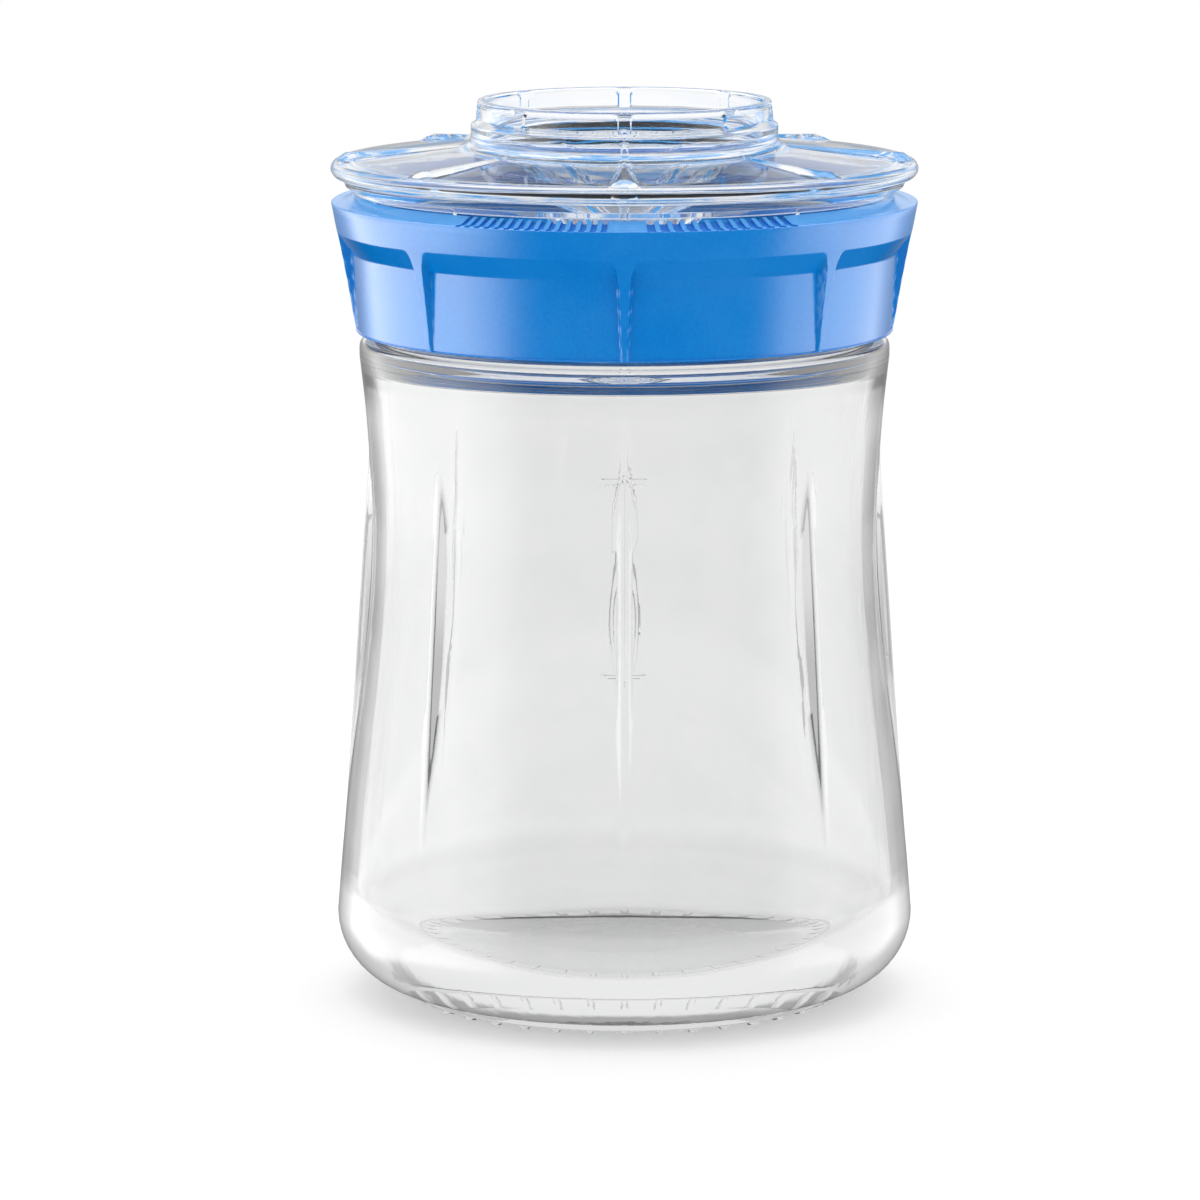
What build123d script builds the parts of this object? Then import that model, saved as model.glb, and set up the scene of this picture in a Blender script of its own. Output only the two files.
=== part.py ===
from build123d import *
import math
import os

# A fermentation jar: a waisted glass jar, a screw-on strainer lid ring with its flat
# gasket, and a clear turning cover with its seal. Millimetres, +Z up, origin at the
# centre of the foot, front and pouring slots towards -Y.

# Shared pattern and clearances
rib_count = 8
rib_step = 360 / rib_count
front_angle = -90
back_angle = 90
overrun = 2.0
bend_chords = 2
seat_gap = 0.05
running_gap = 0.2
cover_rest_gap = 0.25

# Glass jar: the radii step out and in from the neck, the heights rise from the foot plane
neck_radius = 46.4
neck_wall = 3.6
shoulder_ledge = 3.5
waist_draw = 2.1
belly_swell = 6.9
foot_set_in = 12.4
foot_lift = 1.0
foot_land = 4.8
foot_step = 1.4
foot_step_inset = 0.7
punt_rise = 2.2
punt_flat_share = 0.6
belly_height = 15.7
flank_rise = 76.3
flank_share = 0.37
waist_rise = 30.2
shoulder_round = 3.0
neck_height = 13.8
rim_round = 1.2
glass_wall = 2.9
belly_wall = 3.6
base_thickness = 6.3
floor_set_in = 8.3
cavity_belly_lift = 6.0
cavity_shoulder_drop = 3.0
cavity_throat_rise = 2.8
throat_share = 0.5

# Nubs of the foot, upright ribs of the waist and level bars on the back
nub_count = 40
nub_set_in = 2.1
nub_width = 1.1
nub_length = 3.2
waist_rib_radius = 1.42
waist_rib_chords = 3
waist_rib_foot_rise = 14.3
waist_rib_top_rise = 18.0
waist_rib_foot_sink = 1.35
waist_rib_top_sink = 0.1
level_bar_raise = 0.35
level_bar_length = 10.6
high_level_drop = 1.1
high_level_bar = 1.0
low_level_drop = 40.9
low_level_bar = 0.6

# Flat gasket between the mouth and the lid
gasket_thickness = 2.0
gasket_inner_lap = 0.4
gasket_outer_lap = 0.8

# Strainer lid ring: each radius steps out from the neck
lid_gap = 1.7
thread_room = 1.6
lid_foot_wall = 2.5
lid_taper = 3.5
lid_lip = 1.0
lid_flange = 2.2
lid_flange_lap = 1.2
cup_room = 3.0
cup_depth = 6.2
funnel_height = 3.2
funnel_flare = 0.8
lid_rim_edge = 0.4
lid_land_drop = 1.35
lid_land_width = 1.9
lid_band_height = 6.9
lid_shelf_height = 3.9
lid_shelf_width = 2.7
lid_panel_foot_recess = 0.4
lid_rib_foot_width = 1.0
lid_rib_width = 2.4
lid_rib_flare_width = 5.8
lid_rib_flare_height = 4.4

# Strainer slots in the rim, in degrees to each side of the front
slot_depth = 1.6
fine_slot_count = 15
fine_slot_width = 1.05
fine_slot_first = 3.9
fine_slot_pitch = 2.1
coarse_slot_count = 12
coarse_slot_width = 1.5
coarse_slot_first = 5.2
coarse_slot_pitch = 2.62

# Clear cover: bead, plate, skirt and plug
cover_wall = 1.8
cover_overhang = 0.1
bead_radius = 1.5
skirt_set_in = 2.1
skirt_taper = 0.7
skirt_height = 3.0
collar_set_in = 1.4
collar_height = 1.25
plug_length = 4.4
plate_rise = 2.3
ridge_width = 5.8
ridge_height = 1.5
ridge_end_share = 0.18
window_angle = 79
window_height = 3.3

# Clear cover: knob ring
knob_radius = 28.8
knob_band_set_in = 0.9
knob_top_set_in = 1.3
knob_wall = 1.5
knob_height = 8.9
knob_rim_height = 0.6
knob_step_height = 0.6
knob_flare = 2.6
knob_panel_recess = 0.6
knob_panel_height = 3.4
knob_rib_width = 2.3
knob_rib_flare_width = 4.2
knob_rib_flare_height = 1.1

# Clear cover: fluted pressing cone that hangs inside the knob ring
cone_depth = 24.0
cone_wall = 1.6
cone_shares = [(1.0, 0.0), (0.80, 0.12), (0.48, 0.55), (0.20, 0.90), (0.0, 1.0)]
flute_count = 12
flute_width = 1.4
flute_height = 1.3

# Seal ring on the cover's plug
seal_height = 1.6
seal_drop = 2.6
seal_groove = 0.9
seal_bevel = 0.4

# Radii that follow from the sizes above
mouth_radius = neck_radius - neck_wall
shoulder_radius = neck_radius + shoulder_ledge
waist_radius = shoulder_radius - waist_draw
belly_radius = waist_radius + belly_swell
foot_radius = belly_radius - foot_set_in
floor_flat_radius = foot_radius - floor_set_in
nub_circle = foot_radius - nub_set_in
waist_rib_foot_crest = belly_radius - waist_rib_foot_sink
waist_rib_top_crest = waist_radius - waist_rib_top_sink
gasket_bore_radius = mouth_radius - gasket_inner_lap
gasket_radius = neck_radius + gasket_outer_lap
lid_bore_radius = neck_radius + thread_room
lid_foot_radius = lid_bore_radius + lid_foot_wall
lid_band_radius = lid_foot_radius + lid_taper
lid_radius = lid_band_radius + lid_lip
lid_flange_bore_radius = mouth_radius - lid_flange_lap
cup_radius = neck_radius + cup_room
funnel_top_radius = cup_radius + funnel_flare
cover_radius = lid_radius + cover_overhang
skirt_top_radius = cover_radius - skirt_set_in
skirt_foot_radius = skirt_top_radius - skirt_taper
collar_radius = skirt_foot_radius - collar_set_in
knob_band_radius = knob_radius - knob_band_set_in
knob_top_radius = knob_radius - knob_top_set_in

# Heights that follow from the sizes above
waist_height = belly_height + flank_rise
shoulder_height = waist_height + waist_rise
waist_rib_foot = belly_height + waist_rib_foot_rise
waist_rib_top = waist_height + waist_rib_top_rise
high_level = waist_height - high_level_drop
low_level = waist_height - low_level_drop
shoulder_top = shoulder_height + shoulder_round
jar_rim = shoulder_top + neck_height
gasket_base = jar_rim + seat_gap
flange_base = gasket_base + gasket_thickness
flange_top = flange_base + lid_flange
lid_foot = shoulder_top + lid_gap
funnel_base = flange_top + cup_depth
lid_top = funnel_base + funnel_height
lid_land = lid_top - lid_land_drop
lid_widest = lid_land - lid_rim_edge
lid_band_base = lid_top - lid_band_height
lid_panel_top = lid_band_base - lid_shelf_height
cover_foot = lid_top + cover_rest_gap
skirt_foot = cover_foot + collar_height
bead_height = cover_foot + skirt_height + bead_radius
bead_circle = cover_radius - bead_radius
plate_edge_top = bead_height + bead_radius
plate_top = plate_edge_top + plate_rise
knob_top = plate_top + knob_height


def upright_plane(angle):
    """Plane through the centre line: local x is the radius at this angle, local y is up."""
    turn = math.radians(angle)
    return Plane(
        origin=(0, 0, 0),
        x_dir=(math.cos(turn), math.sin(turn), 0),
        z_dir=(math.sin(turn), -math.cos(turn), 0),
    )


def outward_plane(angle, distance, height):
    """Plane square to the radius at this angle: local x is across, local y is up."""
    turn = math.radians(angle)
    outward = Vector(math.cos(turn), math.sin(turn), 0)
    return Plane(
        origin=(outward.X * distance, outward.Y * distance, height),
        x_dir=(-outward.Y, outward.X, 0),
        z_dir=outward,
    )


def between(start, end, share):
    """Value part of the way from start to end."""
    return start + (end - start) * share


def point_between(start, end, share):
    """Point part of the way along the straight line from start to end."""
    return (between(start[0], end[0], share), between(start[1], end[1], share))


def upright_arc(start, end, count):
    """Chords of the arc that leaves start upright and ends at end, as a list of points."""
    across = end[0] - start[0]
    rise = end[1] - start[1]
    radius = (across**2 + rise**2) / (2 * abs(across))
    turn = 2 * math.atan2(abs(across), abs(rise)) / count
    return [
        (
            start[0] + math.copysign(radius * (1 - math.cos(turn * step)), across),
            start[1] + math.copysign(radius * math.sin(turn * step), rise),
        )
        for step in range(count + 1)
    ]


def arc_reach(start, end, height):
    """Radius at a height on the arc that leaves start upright and ends at end."""
    across = end[0] - start[0]
    rise = end[1] - start[1]
    radius = (across**2 + rise**2) / (2 * abs(across))
    inward = radius - math.sqrt(radius**2 - (height - start[1])**2)
    return start[0] + math.copysign(inward, across)


# Glass jar
foot_edge = (foot_radius, foot_lift)
heel = (foot_radius + foot_step_inset, foot_lift + foot_step)
belly = (belly_radius, belly_height)
waist = (waist_radius, waist_height)
flank = point_between(belly, waist, flank_share)
shoulder = (shoulder_radius, shoulder_height)
shoulder_inner = (shoulder_radius - shoulder_round, shoulder_top)

floor_height = foot_lift + base_thickness
cavity_floor = (floor_flat_radius, floor_height)
cavity_belly = (belly_radius - belly_wall, belly_height + cavity_belly_lift)
cavity_waist = (waist_radius - glass_wall, waist_height)
cavity_flank = point_between(cavity_belly, cavity_waist, flank_share)
cavity_shoulder = (shoulder_radius - glass_wall, shoulder_height - cavity_shoulder_drop)
cavity_throat = (mouth_radius, shoulder_top + cavity_throat_rise)
cavity_bend = point_between(cavity_shoulder, cavity_throat, throat_share)

rib_run = waist_rib_top - waist_rib_foot
rib_lean = waist_rib_top_crest - waist_rib_foot_crest
rib_length = math.hypot(rib_run, rib_lean)
nub_start = nub_circle - nub_length / 2

neck_edge = (neck_radius, jar_rim - rim_round)
mouth_edge = (mouth_radius, jar_rim - rim_round)

with BuildPart() as jar:
    with BuildSketch(Plane.XZ):
        with BuildLine():
            Polyline(
                (0, jar_rim),
                (0, foot_lift + punt_rise),
                ((foot_radius - foot_land) * punt_flat_share, foot_lift + punt_rise),
                (foot_radius - foot_land, foot_lift),
                foot_edge,
                *reversed(upright_arc(belly, heel, bend_chords)),
                *upright_arc(belly, flank, bend_chords)[1:],
                *reversed(upright_arc(waist, flank, bend_chords)[:-1]),
                *upright_arc(waist, shoulder, bend_chords)[1:],
                *upright_arc(shoulder, shoulder_inner, bend_chords)[1:],
                (neck_radius, shoulder_top),
                *upright_arc(neck_edge, (neck_radius - rim_round, jar_rim), bend_chords),
                close=True,
            )
        make_face()
    revolve(axis=Axis.Z)

    # Upright ribs: straight rounded bars that bridge the hollow of the waist
    for number in range(rib_count):
        turn = math.radians(front_angle + number * rib_step)
        outward = Vector(math.cos(turn), math.sin(turn), 0)
        direction = outward * rib_lean + Vector(0, 0, rib_run)
        start = outward * waist_rib_foot_crest + Vector(0, 0, waist_rib_foot)
        crest = upright_arc((waist_rib_radius, -waist_rib_radius), (0, 0), waist_rib_chords)
        mirrored = [(-across, depth) for across, depth in reversed(crest[:-1])]
        with BuildSketch(Plane(origin=start, x_dir=(outward.Y, -outward.X, 0), z_dir=direction)):
            with BuildLine():
                Polyline(*crest, *mirrored, close=True)
            make_face()
        extrude(amount=rib_length)

    # Two raised level bars on the back of the glass
    for level, bar in ((high_level, high_level_bar), (low_level, low_level_bar)):
        level_radius = arc_reach(waist, flank, level)
        bar_radius = level_radius + level_bar_raise
        bar_turn = math.degrees(level_bar_length / level_radius)
        with BuildSketch(upright_plane(back_angle - bar_turn / 2)):
            with Locations((bar_radius - glass_wall / 2, level)):
                Rectangle(glass_wall, bar)
        revolve(axis=Axis.Z, revolution_arc=bar_turn)

    # The hollow of the jar, with a thick floor and a narrower mouth
    with BuildSketch(Plane.XZ):
        with BuildLine():
            Polyline(
                (0, jar_rim),
                (0, floor_height),
                *reversed(upright_arc(cavity_belly, cavity_floor, bend_chords)),
                *upright_arc(cavity_belly, cavity_flank, bend_chords)[1:],
                *reversed(upright_arc(cavity_waist, cavity_flank, bend_chords)[:-1]),
                *upright_arc(cavity_waist, cavity_shoulder, bend_chords)[1:],
                *upright_arc(cavity_shoulder, cavity_bend, bend_chords)[1:],
                *reversed(upright_arc(cavity_throat, cavity_bend, bend_chords)[:-1]),
                *upright_arc(mouth_edge, (mouth_radius + rim_round, jar_rim), bend_chords),
                close=True,
            )
        make_face()
    revolve(axis=Axis.Z, mode=Mode.SUBTRACT)

    # Short radial nubs under the foot
    for number in range(nub_count):
        angle = front_angle + number * 360 / nub_count
        with BuildSketch(outward_plane(angle, nub_start, 0)):
            with Locations((0, foot_lift)):
                Rectangle(nub_width, foot_lift * 2)
        extrude(amount=nub_length)

jar.part.label = "jar"

# Flat silicone gasket
with BuildPart() as jar_gasket:
    with BuildSketch(Plane.XY.offset(gasket_base)):
        Circle(gasket_radius)
        Circle(gasket_bore_radius, mode=Mode.SUBTRACT)
    extrude(amount=gasket_thickness)

jar_gasket.part.label = "jar_gasket"


def flared_rib(plane, foot, foot_width, top, width, flare_width, flare_height):
    """Sketch of an upright rib that widens upwards and flares into a band at its top."""
    flare = upright_arc((width / 2, top - flare_height), (flare_width / 2, top), bend_chords)
    right = [(foot_width / 2, foot), *flare, (flare_width / 2, top + overrun)]
    left = [(-across, height) for across, height in reversed(right)]
    with BuildSketch(plane) as rib:
        with BuildLine():
            Polyline(*right, *left, close=True)
        make_face()
    return rib.sketch


# The shallow panels between the ribs of the lid ring
panel_foot_radius = lid_foot_radius - lid_panel_foot_recess
panel_top = (lid_band_radius - lid_shelf_width, lid_panel_top)

with BuildPart() as lid_panels:
    with BuildSketch(Plane.XZ):
        with BuildLine():
            Polyline(
                (panel_foot_radius, lid_foot - overrun),
                (panel_foot_radius, lid_foot),
                panel_top,
                (lid_band_radius, lid_band_base),
                (lid_radius + overrun, lid_band_base),
                (lid_radius + overrun, lid_foot - overrun),
                close=True,
            )
        make_face()
    revolve(axis=Axis.Z)
    for number in range(rib_count):
        rib = flared_rib(
            outward_plane(front_angle + number * rib_step, mouth_radius, 0),
            lid_foot,
            lid_rib_foot_width,
            lid_band_base,
            lid_rib_width,
            lid_rib_flare_width,
            lid_rib_flare_height,
        )
        extrude(rib, amount=lid_radius, mode=Mode.SUBTRACT)

# Strainer lid ring
lid_widest_point = (lid_radius, lid_widest)
lid_rim_point = (lid_radius - lid_rim_edge, lid_land)

with BuildPart() as lid_ring:
    with BuildSketch(Plane.XZ):
        with BuildLine():
            Polyline(
                (lid_foot_radius, lid_foot),
                (lid_band_radius, lid_band_base),
                *upright_arc(lid_widest_point, lid_rim_point, bend_chords),
                (lid_radius - lid_land_width, lid_land),
                (funnel_top_radius, lid_top),
                (cup_radius, funnel_base),
                (cup_radius, flange_top),
                (lid_flange_bore_radius, flange_top),
                (lid_flange_bore_radius, flange_base),
                (lid_bore_radius, flange_base),
                (lid_bore_radius, lid_foot),
                close=True,
            )
        make_face()
    revolve(axis=Axis.Z)
    add(lid_panels.part, mode=Mode.SUBTRACT)

    # Radial strainer slots across the front of the rim, fine on one side, coarse on the other
    slot_groups = (
        (-1, fine_slot_count, fine_slot_first, fine_slot_pitch, fine_slot_width),
        (1, coarse_slot_count, coarse_slot_first, coarse_slot_pitch, coarse_slot_width),
    )
    for side, count, first, pitch, width in slot_groups:
        for number in range(count):
            angle = front_angle + side * (first + number * pitch)
            with BuildSketch(outward_plane(angle, cup_radius - overrun, lid_top)):
                Rectangle(width, slot_depth * 2)
            extrude(amount=lid_radius - cup_radius + overrun * 2, mode=Mode.SUBTRACT)

lid_ring.part.label = "lid_ring"

# Seal ring, a bevelled silicone band in the groove of the cover's plug
plug_radius = cup_radius - running_gap
plug_foot = funnel_base - plug_length
seal_radius = cup_radius - seat_gap
seal_bore_radius = plug_radius - seal_groove + seat_gap
seal_middle = funnel_base - seal_drop

with BuildPart() as cover_seal:
    with BuildSketch(Plane.XZ) as seal_section:
        with Locations(((seal_radius + seal_bore_radius) / 2, seal_middle)):
            Rectangle(seal_radius - seal_bore_radius, seal_height)
        chamfer(seal_section.vertices().group_by(Axis.X)[-1], seal_bevel)
    revolve(axis=Axis.Z)

cover_seal.part.label = "cover_seal"

# The shallow panels between the ribs of the knob ring
knob_panel_top = knob_top - knob_rim_height
knob_panel_base = knob_panel_top - knob_panel_height
knob_flare_top = (knob_radius, plate_top + knob_flare)

with BuildPart() as knob_panels:
    with BuildSketch(Plane.XZ):
        with BuildLine():
            Polyline(
                (knob_band_radius - knob_panel_recess, knob_panel_base),
                (knob_top_radius - knob_panel_recess, knob_panel_top),
                (knob_radius + overrun, knob_panel_top),
                (knob_radius + overrun, knob_panel_base),
                close=True,
            )
        make_face()
    revolve(axis=Axis.Z)
    for number in range(rib_count):
        rib = flared_rib(
            outward_plane(front_angle + number * rib_step, overrun, 0),
            knob_panel_base,
            knob_rib_width,
            knob_panel_top,
            knob_rib_width,
            knob_rib_flare_width,
            knob_rib_flare_height,
        )
        extrude(rib, amount=knob_radius + overrun, mode=Mode.SUBTRACT)

# Clear cover
cover_ledge_radius = funnel_top_radius - running_gap
skirt_bore_radius = skirt_foot_radius - cover_wall
collar_bore_radius = collar_radius - cover_wall
plug_bore_radius = plug_radius - cover_wall
plate_inner_radius = knob_radius + knob_flare
knob_bore_radius = knob_top_radius - knob_wall
plate_under = plate_top - cover_wall
cone_top = plate_top
cone_radius = knob_bore_radius
bead_base = bead_height - bead_radius
bead_edge = (cover_radius, bead_height)

with BuildPart() as cover:
    # Plate, bead, skirt and plug in one turned section
    with BuildSketch(Plane.XZ):
        with BuildLine():
            Polyline(
                (knob_bore_radius, plate_top),
                (plate_inner_radius, plate_top),
                *reversed(upright_arc(bead_edge, (bead_circle, plate_edge_top), bend_chords)),
                *upright_arc(bead_edge, (bead_circle, bead_base), bend_chords)[1:],
                (skirt_top_radius, bead_base),
                (skirt_foot_radius, skirt_foot),
                (collar_radius, skirt_foot),
                (collar_radius, cover_foot),
                (cover_ledge_radius, cover_foot),
                (plug_radius, funnel_base - running_gap),
                (plug_radius, plug_foot),
                (plug_bore_radius, plug_foot),
                (plug_bore_radius, funnel_base - running_gap),
                (collar_bore_radius, cover_foot),
                (collar_bore_radius, skirt_foot),
                (skirt_bore_radius, bead_base),
                (skirt_bore_radius, plate_edge_top - cover_wall),
                (plate_inner_radius, plate_under),
                (knob_bore_radius, plate_under),
                close=True,
            )
        make_face()
    revolve(axis=Axis.Z)

    # Groove for the seal
    with BuildSketch(Plane.XZ):
        with Locations((plug_radius, seal_middle)):
            Rectangle(seal_groove * 2, seal_height + seat_gap * 2)
    revolve(axis=Axis.Z, mode=Mode.SUBTRACT)

    # Knob ring: a panelled band over a wider tier that flares into the plate
    with BuildSketch(Plane.XZ):
        with BuildLine():
            Polyline(
                (knob_bore_radius, plate_under),
                (knob_bore_radius, knob_top),
                (knob_top_radius, knob_top),
                (knob_band_radius, knob_panel_base),
                (knob_radius, knob_panel_base - knob_step_height),
                *upright_arc(knob_flare_top, (plate_inner_radius, plate_top), bend_chords),
                (plate_inner_radius, plate_under),
                close=True,
            )
        make_face()
    revolve(axis=Axis.Z)
    add(knob_panels.part, mode=Mode.SUBTRACT)

    # Ridges of the plate: arches that rise from the knob to the bead
    ridge_sections = (
        (plate_inner_radius, plate_top, ridge_end_share),
        (bead_circle, plate_edge_top, 1.0),
    )
    for number in range(rib_count):
        for distance, height, size_share in ridge_sections:
            half_width = ridge_width / 2 * size_share
            side = upright_arc((half_width, 0), (0, ridge_height * size_share), bend_chords)
            mirrored = [(-across, rise) for across, rise in reversed(side[:-1])]
            sunk = -cover_wall / 2
            with BuildSketch(outward_plane(front_angle + number * rib_step, distance, height)):
                with BuildLine():
                    Polyline((half_width, sunk), *side, *mirrored, (-half_width, sunk), close=True)
                make_face()
        loft(ruled=True)

    # Pressing cone: a thin domed shell
    cone_outline = [
        (cone_radius * radius_share, cone_top - cone_depth * depth_share)
        for radius_share, depth_share in cone_shares
    ]
    under_outline = [(radius, height - cone_wall) for radius, height in cone_outline]
    with BuildSketch(Plane.XZ):
        with BuildLine():
            Polyline(*cone_outline, *reversed(under_outline), close=True)
        make_face()
    revolve(axis=Axis.Z)

    # Upright flutes under the cone, rooted half a wall deep in the shell
    root_outline = [(radius, height - cone_wall / 2) for radius, height in cone_outline[:-1]]
    flute_outline = [(radius, height - flute_height) for radius, height in under_outline[:-1]]
    for number in range(flute_count):
        with BuildSketch(upright_plane(front_angle + number * 360 / flute_count)):
            with BuildLine():
                Polyline(*root_outline, *reversed(flute_outline), close=True)
            make_face()
        extrude(amount=flute_width / 2, both=True)

    # Window in the plug, over the strainer slots
    window_start = front_angle - window_angle / 2
    with BuildSketch(upright_plane(window_start)):
        with Locations(((plug_bore_radius + skirt_foot_radius) / 2, cover_foot - window_height / 2)):
            Rectangle(skirt_foot_radius - plug_bore_radius + overrun * 2, window_height)
    revolve(axis=Axis.Z, revolution_arc=window_angle, mode=Mode.SUBTRACT)

cover.part.label = "cover"

os.makedirs("parts", exist_ok=True)
for piece in (jar, jar_gasket, lid_ring, cover_seal, cover):
    export_step(piece.part, f"parts/{piece.part.label}.step")
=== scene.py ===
import logging
import math
from dataclasses import dataclass, field
from enum import Enum

import bpy
import numpy as np
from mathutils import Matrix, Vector


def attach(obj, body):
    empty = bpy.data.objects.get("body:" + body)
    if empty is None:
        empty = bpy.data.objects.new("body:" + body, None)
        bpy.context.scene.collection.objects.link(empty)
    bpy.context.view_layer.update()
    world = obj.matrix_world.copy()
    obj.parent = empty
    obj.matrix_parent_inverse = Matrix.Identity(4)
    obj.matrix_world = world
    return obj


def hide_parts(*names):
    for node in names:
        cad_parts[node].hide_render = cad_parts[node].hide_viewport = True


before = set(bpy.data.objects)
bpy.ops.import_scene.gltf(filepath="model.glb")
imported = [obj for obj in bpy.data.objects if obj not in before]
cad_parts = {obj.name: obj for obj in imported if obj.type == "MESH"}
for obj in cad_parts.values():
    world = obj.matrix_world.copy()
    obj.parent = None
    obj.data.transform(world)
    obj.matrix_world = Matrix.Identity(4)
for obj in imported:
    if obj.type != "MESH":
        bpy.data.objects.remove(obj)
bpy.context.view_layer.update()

log = logging.getLogger("fermentation_jar")

MM = 0.001
FRONT = -math.pi / 2
BACK = math.pi / 2
FULL_TURN = 2 * math.pi
LONGEST_FILLET_SHARE = 0.49


class Body(Enum):
    """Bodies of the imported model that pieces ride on."""

    JAR = "jar"
    GASKET = "gasket"
    LID = "lid"
    SEAL = "seal"
    COVER = "cover"


class Slot(Enum):
    """Material slots of the record."""

    GLASS = "glass"
    LID_PLASTIC = "lid_plastic"
    CLEAR_PLASTIC = "clear_plastic"
    SILICONE = "silicone"


class Hand(Enum):
    """Side of the front that a group of strainer slots is on, seen from above."""

    LEFT = -1.0
    RIGHT = 1.0


# Plain curve maths, on whole arrays

Pair = tuple[float, float]


def smooth_step(low: float, high: float, value: np.ndarray) -> np.ndarray:
    """Rises from 0 at low to 1 at high as 3t^2 - 2t^3, flat at both ends."""
    share = np.clip((value - low) / (high - low), 0.0, 1.0)
    return share * share * (3.0 - 2.0 * share)


def between(start: float | np.ndarray, end: float | np.ndarray, share: np.ndarray) -> np.ndarray:
    """Value part of the way from start to end."""
    return start + (end - start) * share


def smooth_larger(one: np.ndarray, other: np.ndarray, softness: float) -> np.ndarray:
    """The larger of two surfaces, filleted where they meet by softness * h * (1 - h)."""
    share = np.clip(0.5 + 0.5 * (one - other) / softness, 0.0, 1.0)
    return other + (one - other) * share + softness * share * (1.0 - share)


def plateau(value: np.ndarray, half_width: float | np.ndarray, soft: Pair) -> np.ndarray:
    """1 near zero and 0 past half_width; soft is a side's inset from there and its width."""
    start = half_width - soft[0]
    return 1.0 - smooth_step(start, start + soft[1], np.abs(value))


def raised(value: np.ndarray, low: float, high: float, edge: float) -> np.ndarray:
    """Rises from 0 to 1 within edge above low, and falls back within edge below high."""
    return smooth_step(low, low + edge, value) * (1 - smooth_step(high - edge, high, value))


def turn_from(angles: np.ndarray, centre: float) -> np.ndarray:
    """Signed turn in radians from a centre angle, wrapped to plus or minus half a turn."""
    return (angles - centre + math.pi) % FULL_TURN - math.pi


def nearest_turn(angles: np.ndarray, count: int, first: float) -> np.ndarray:
    """Signed turn in radians to the nearest of count evenly spaced angles, one of them first."""
    pitch = FULL_TURN / count
    return (angles - first + pitch / 2) % pitch - pitch / 2


def hermite(knots: np.ndarray, values: np.ndarray, at: np.ndarray) -> np.ndarray:
    """Smooth curve through knots: cubic pieces whose slopes are the local gradients.

    Args:
        knots: Rising places of the knots.
        values: Values at the knots.
        at: Places to read.

    Returns:
        The curve's values at the places.
    """
    slopes = np.gradient(values, knots)
    number = np.clip(np.searchsorted(knots, at) - 1, 0, len(knots) - 2)
    width = knots[number + 1] - knots[number]
    t = np.clip((at - knots[number]) / width, 0.0, 1.0)
    return (
        values[number] * (2 * t**3 - 3 * t**2 + 1)
        + values[number + 1] * (3 * t**2 - 2 * t**3)
        + slopes[number] * width * (t**3 - 2 * t**2 + t)
        + slopes[number + 1] * width * (t**3 - t**2)
    )


def risen(curve: tuple[Pair, ...], heights: np.ndarray) -> np.ndarray:
    """Points, one row each, of the smooth curve through (radius, height) knots at heights."""
    radii, knots = np.array(curve).T
    return np.column_stack((hermite(knots, radii, heights), heights))


def levels(marks: list[float], counts: list[int]) -> np.ndarray:
    """Rising numbers through marks, that many from each mark to the next, both among them."""
    runs = [np.linspace(*span) for span in zip(marks[:-1], marks[1:], counts)]
    return np.unique(np.concatenate(runs))


def upright_arc(start: Pair, end: Pair, count: int) -> np.ndarray:
    """Points of the arc that leaves start upright and ends at end.

    Its radius is (across^2 + rise^2) / (2 |across|), turned from the upright tangent.

    Args:
        start: (radius, height) where the arc is upright.
        end: (radius, height) of its other end.
        count: Number of steps.

    Returns:
        Points, one row each, from start to end.
    """
    across, rise = end[0] - start[0], end[1] - start[1]
    radius = (across**2 + rise**2) / (2 * abs(across))
    turn = np.linspace(0.0, 2 * math.atan2(abs(across), abs(rise)), count + 1)
    return np.column_stack(
        (
            start[0] + math.copysign(radius, across) * (1 - np.cos(turn)),
            start[1] + math.copysign(radius, rise) * np.sin(turn),
        )
    )


@dataclass(frozen=True)
class Corner:
    """Corner of a turned section, in mm, with the fillet that rounds it."""

    radius: float
    height: float
    fillet: float = 0.0
    steps: int = 4


def filleted(*corners: Corner, closed: bool = False) -> np.ndarray:
    """Outline through corners, each rounded by an arc of its fillet.

    The arc touches both edges at fillet / tan(half the inner angle) from the corner, but no
    further along than just under half of the shorter edge, and is drawn as the quadratic
    curve through the two touching points with the corner as its control point.

    Args:
        corners: Corners in order.
        closed: Whether the last corner joins the first.

    Returns:
        Points, one row each.
    """
    places = np.array([(corner.radius, corner.height) for corner in corners])
    runs: list[np.ndarray] = []
    for number, corner in enumerate(corners):
        here = places[number]
        at_end = not closed and number in (0, len(corners) - 1)
        if corner.fillet <= 0 or at_end:
            runs.append(here[None])
            continue
        before = places[number - 1] - here
        after = places[(number + 1) % len(corners)] - here
        before_length, after_length = np.linalg.norm(before), np.linalg.norm(after)
        before, after = before / before_length, after / after_length
        half = math.acos(float(np.clip(before @ after, -1, 1))) / 2
        longest = LONGEST_FILLET_SHARE * min(before_length, after_length)
        reach = min(corner.fillet / math.tan(half), longest)
        t = np.linspace(0.0, 1.0, corner.steps + 1)[:, None]
        first, last = here + before * reach, here + after * reach
        runs.append(first * (1 - t) ** 2 + here * 2 * t * (1 - t) + last * t**2)
    return np.vstack(runs)


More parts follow.
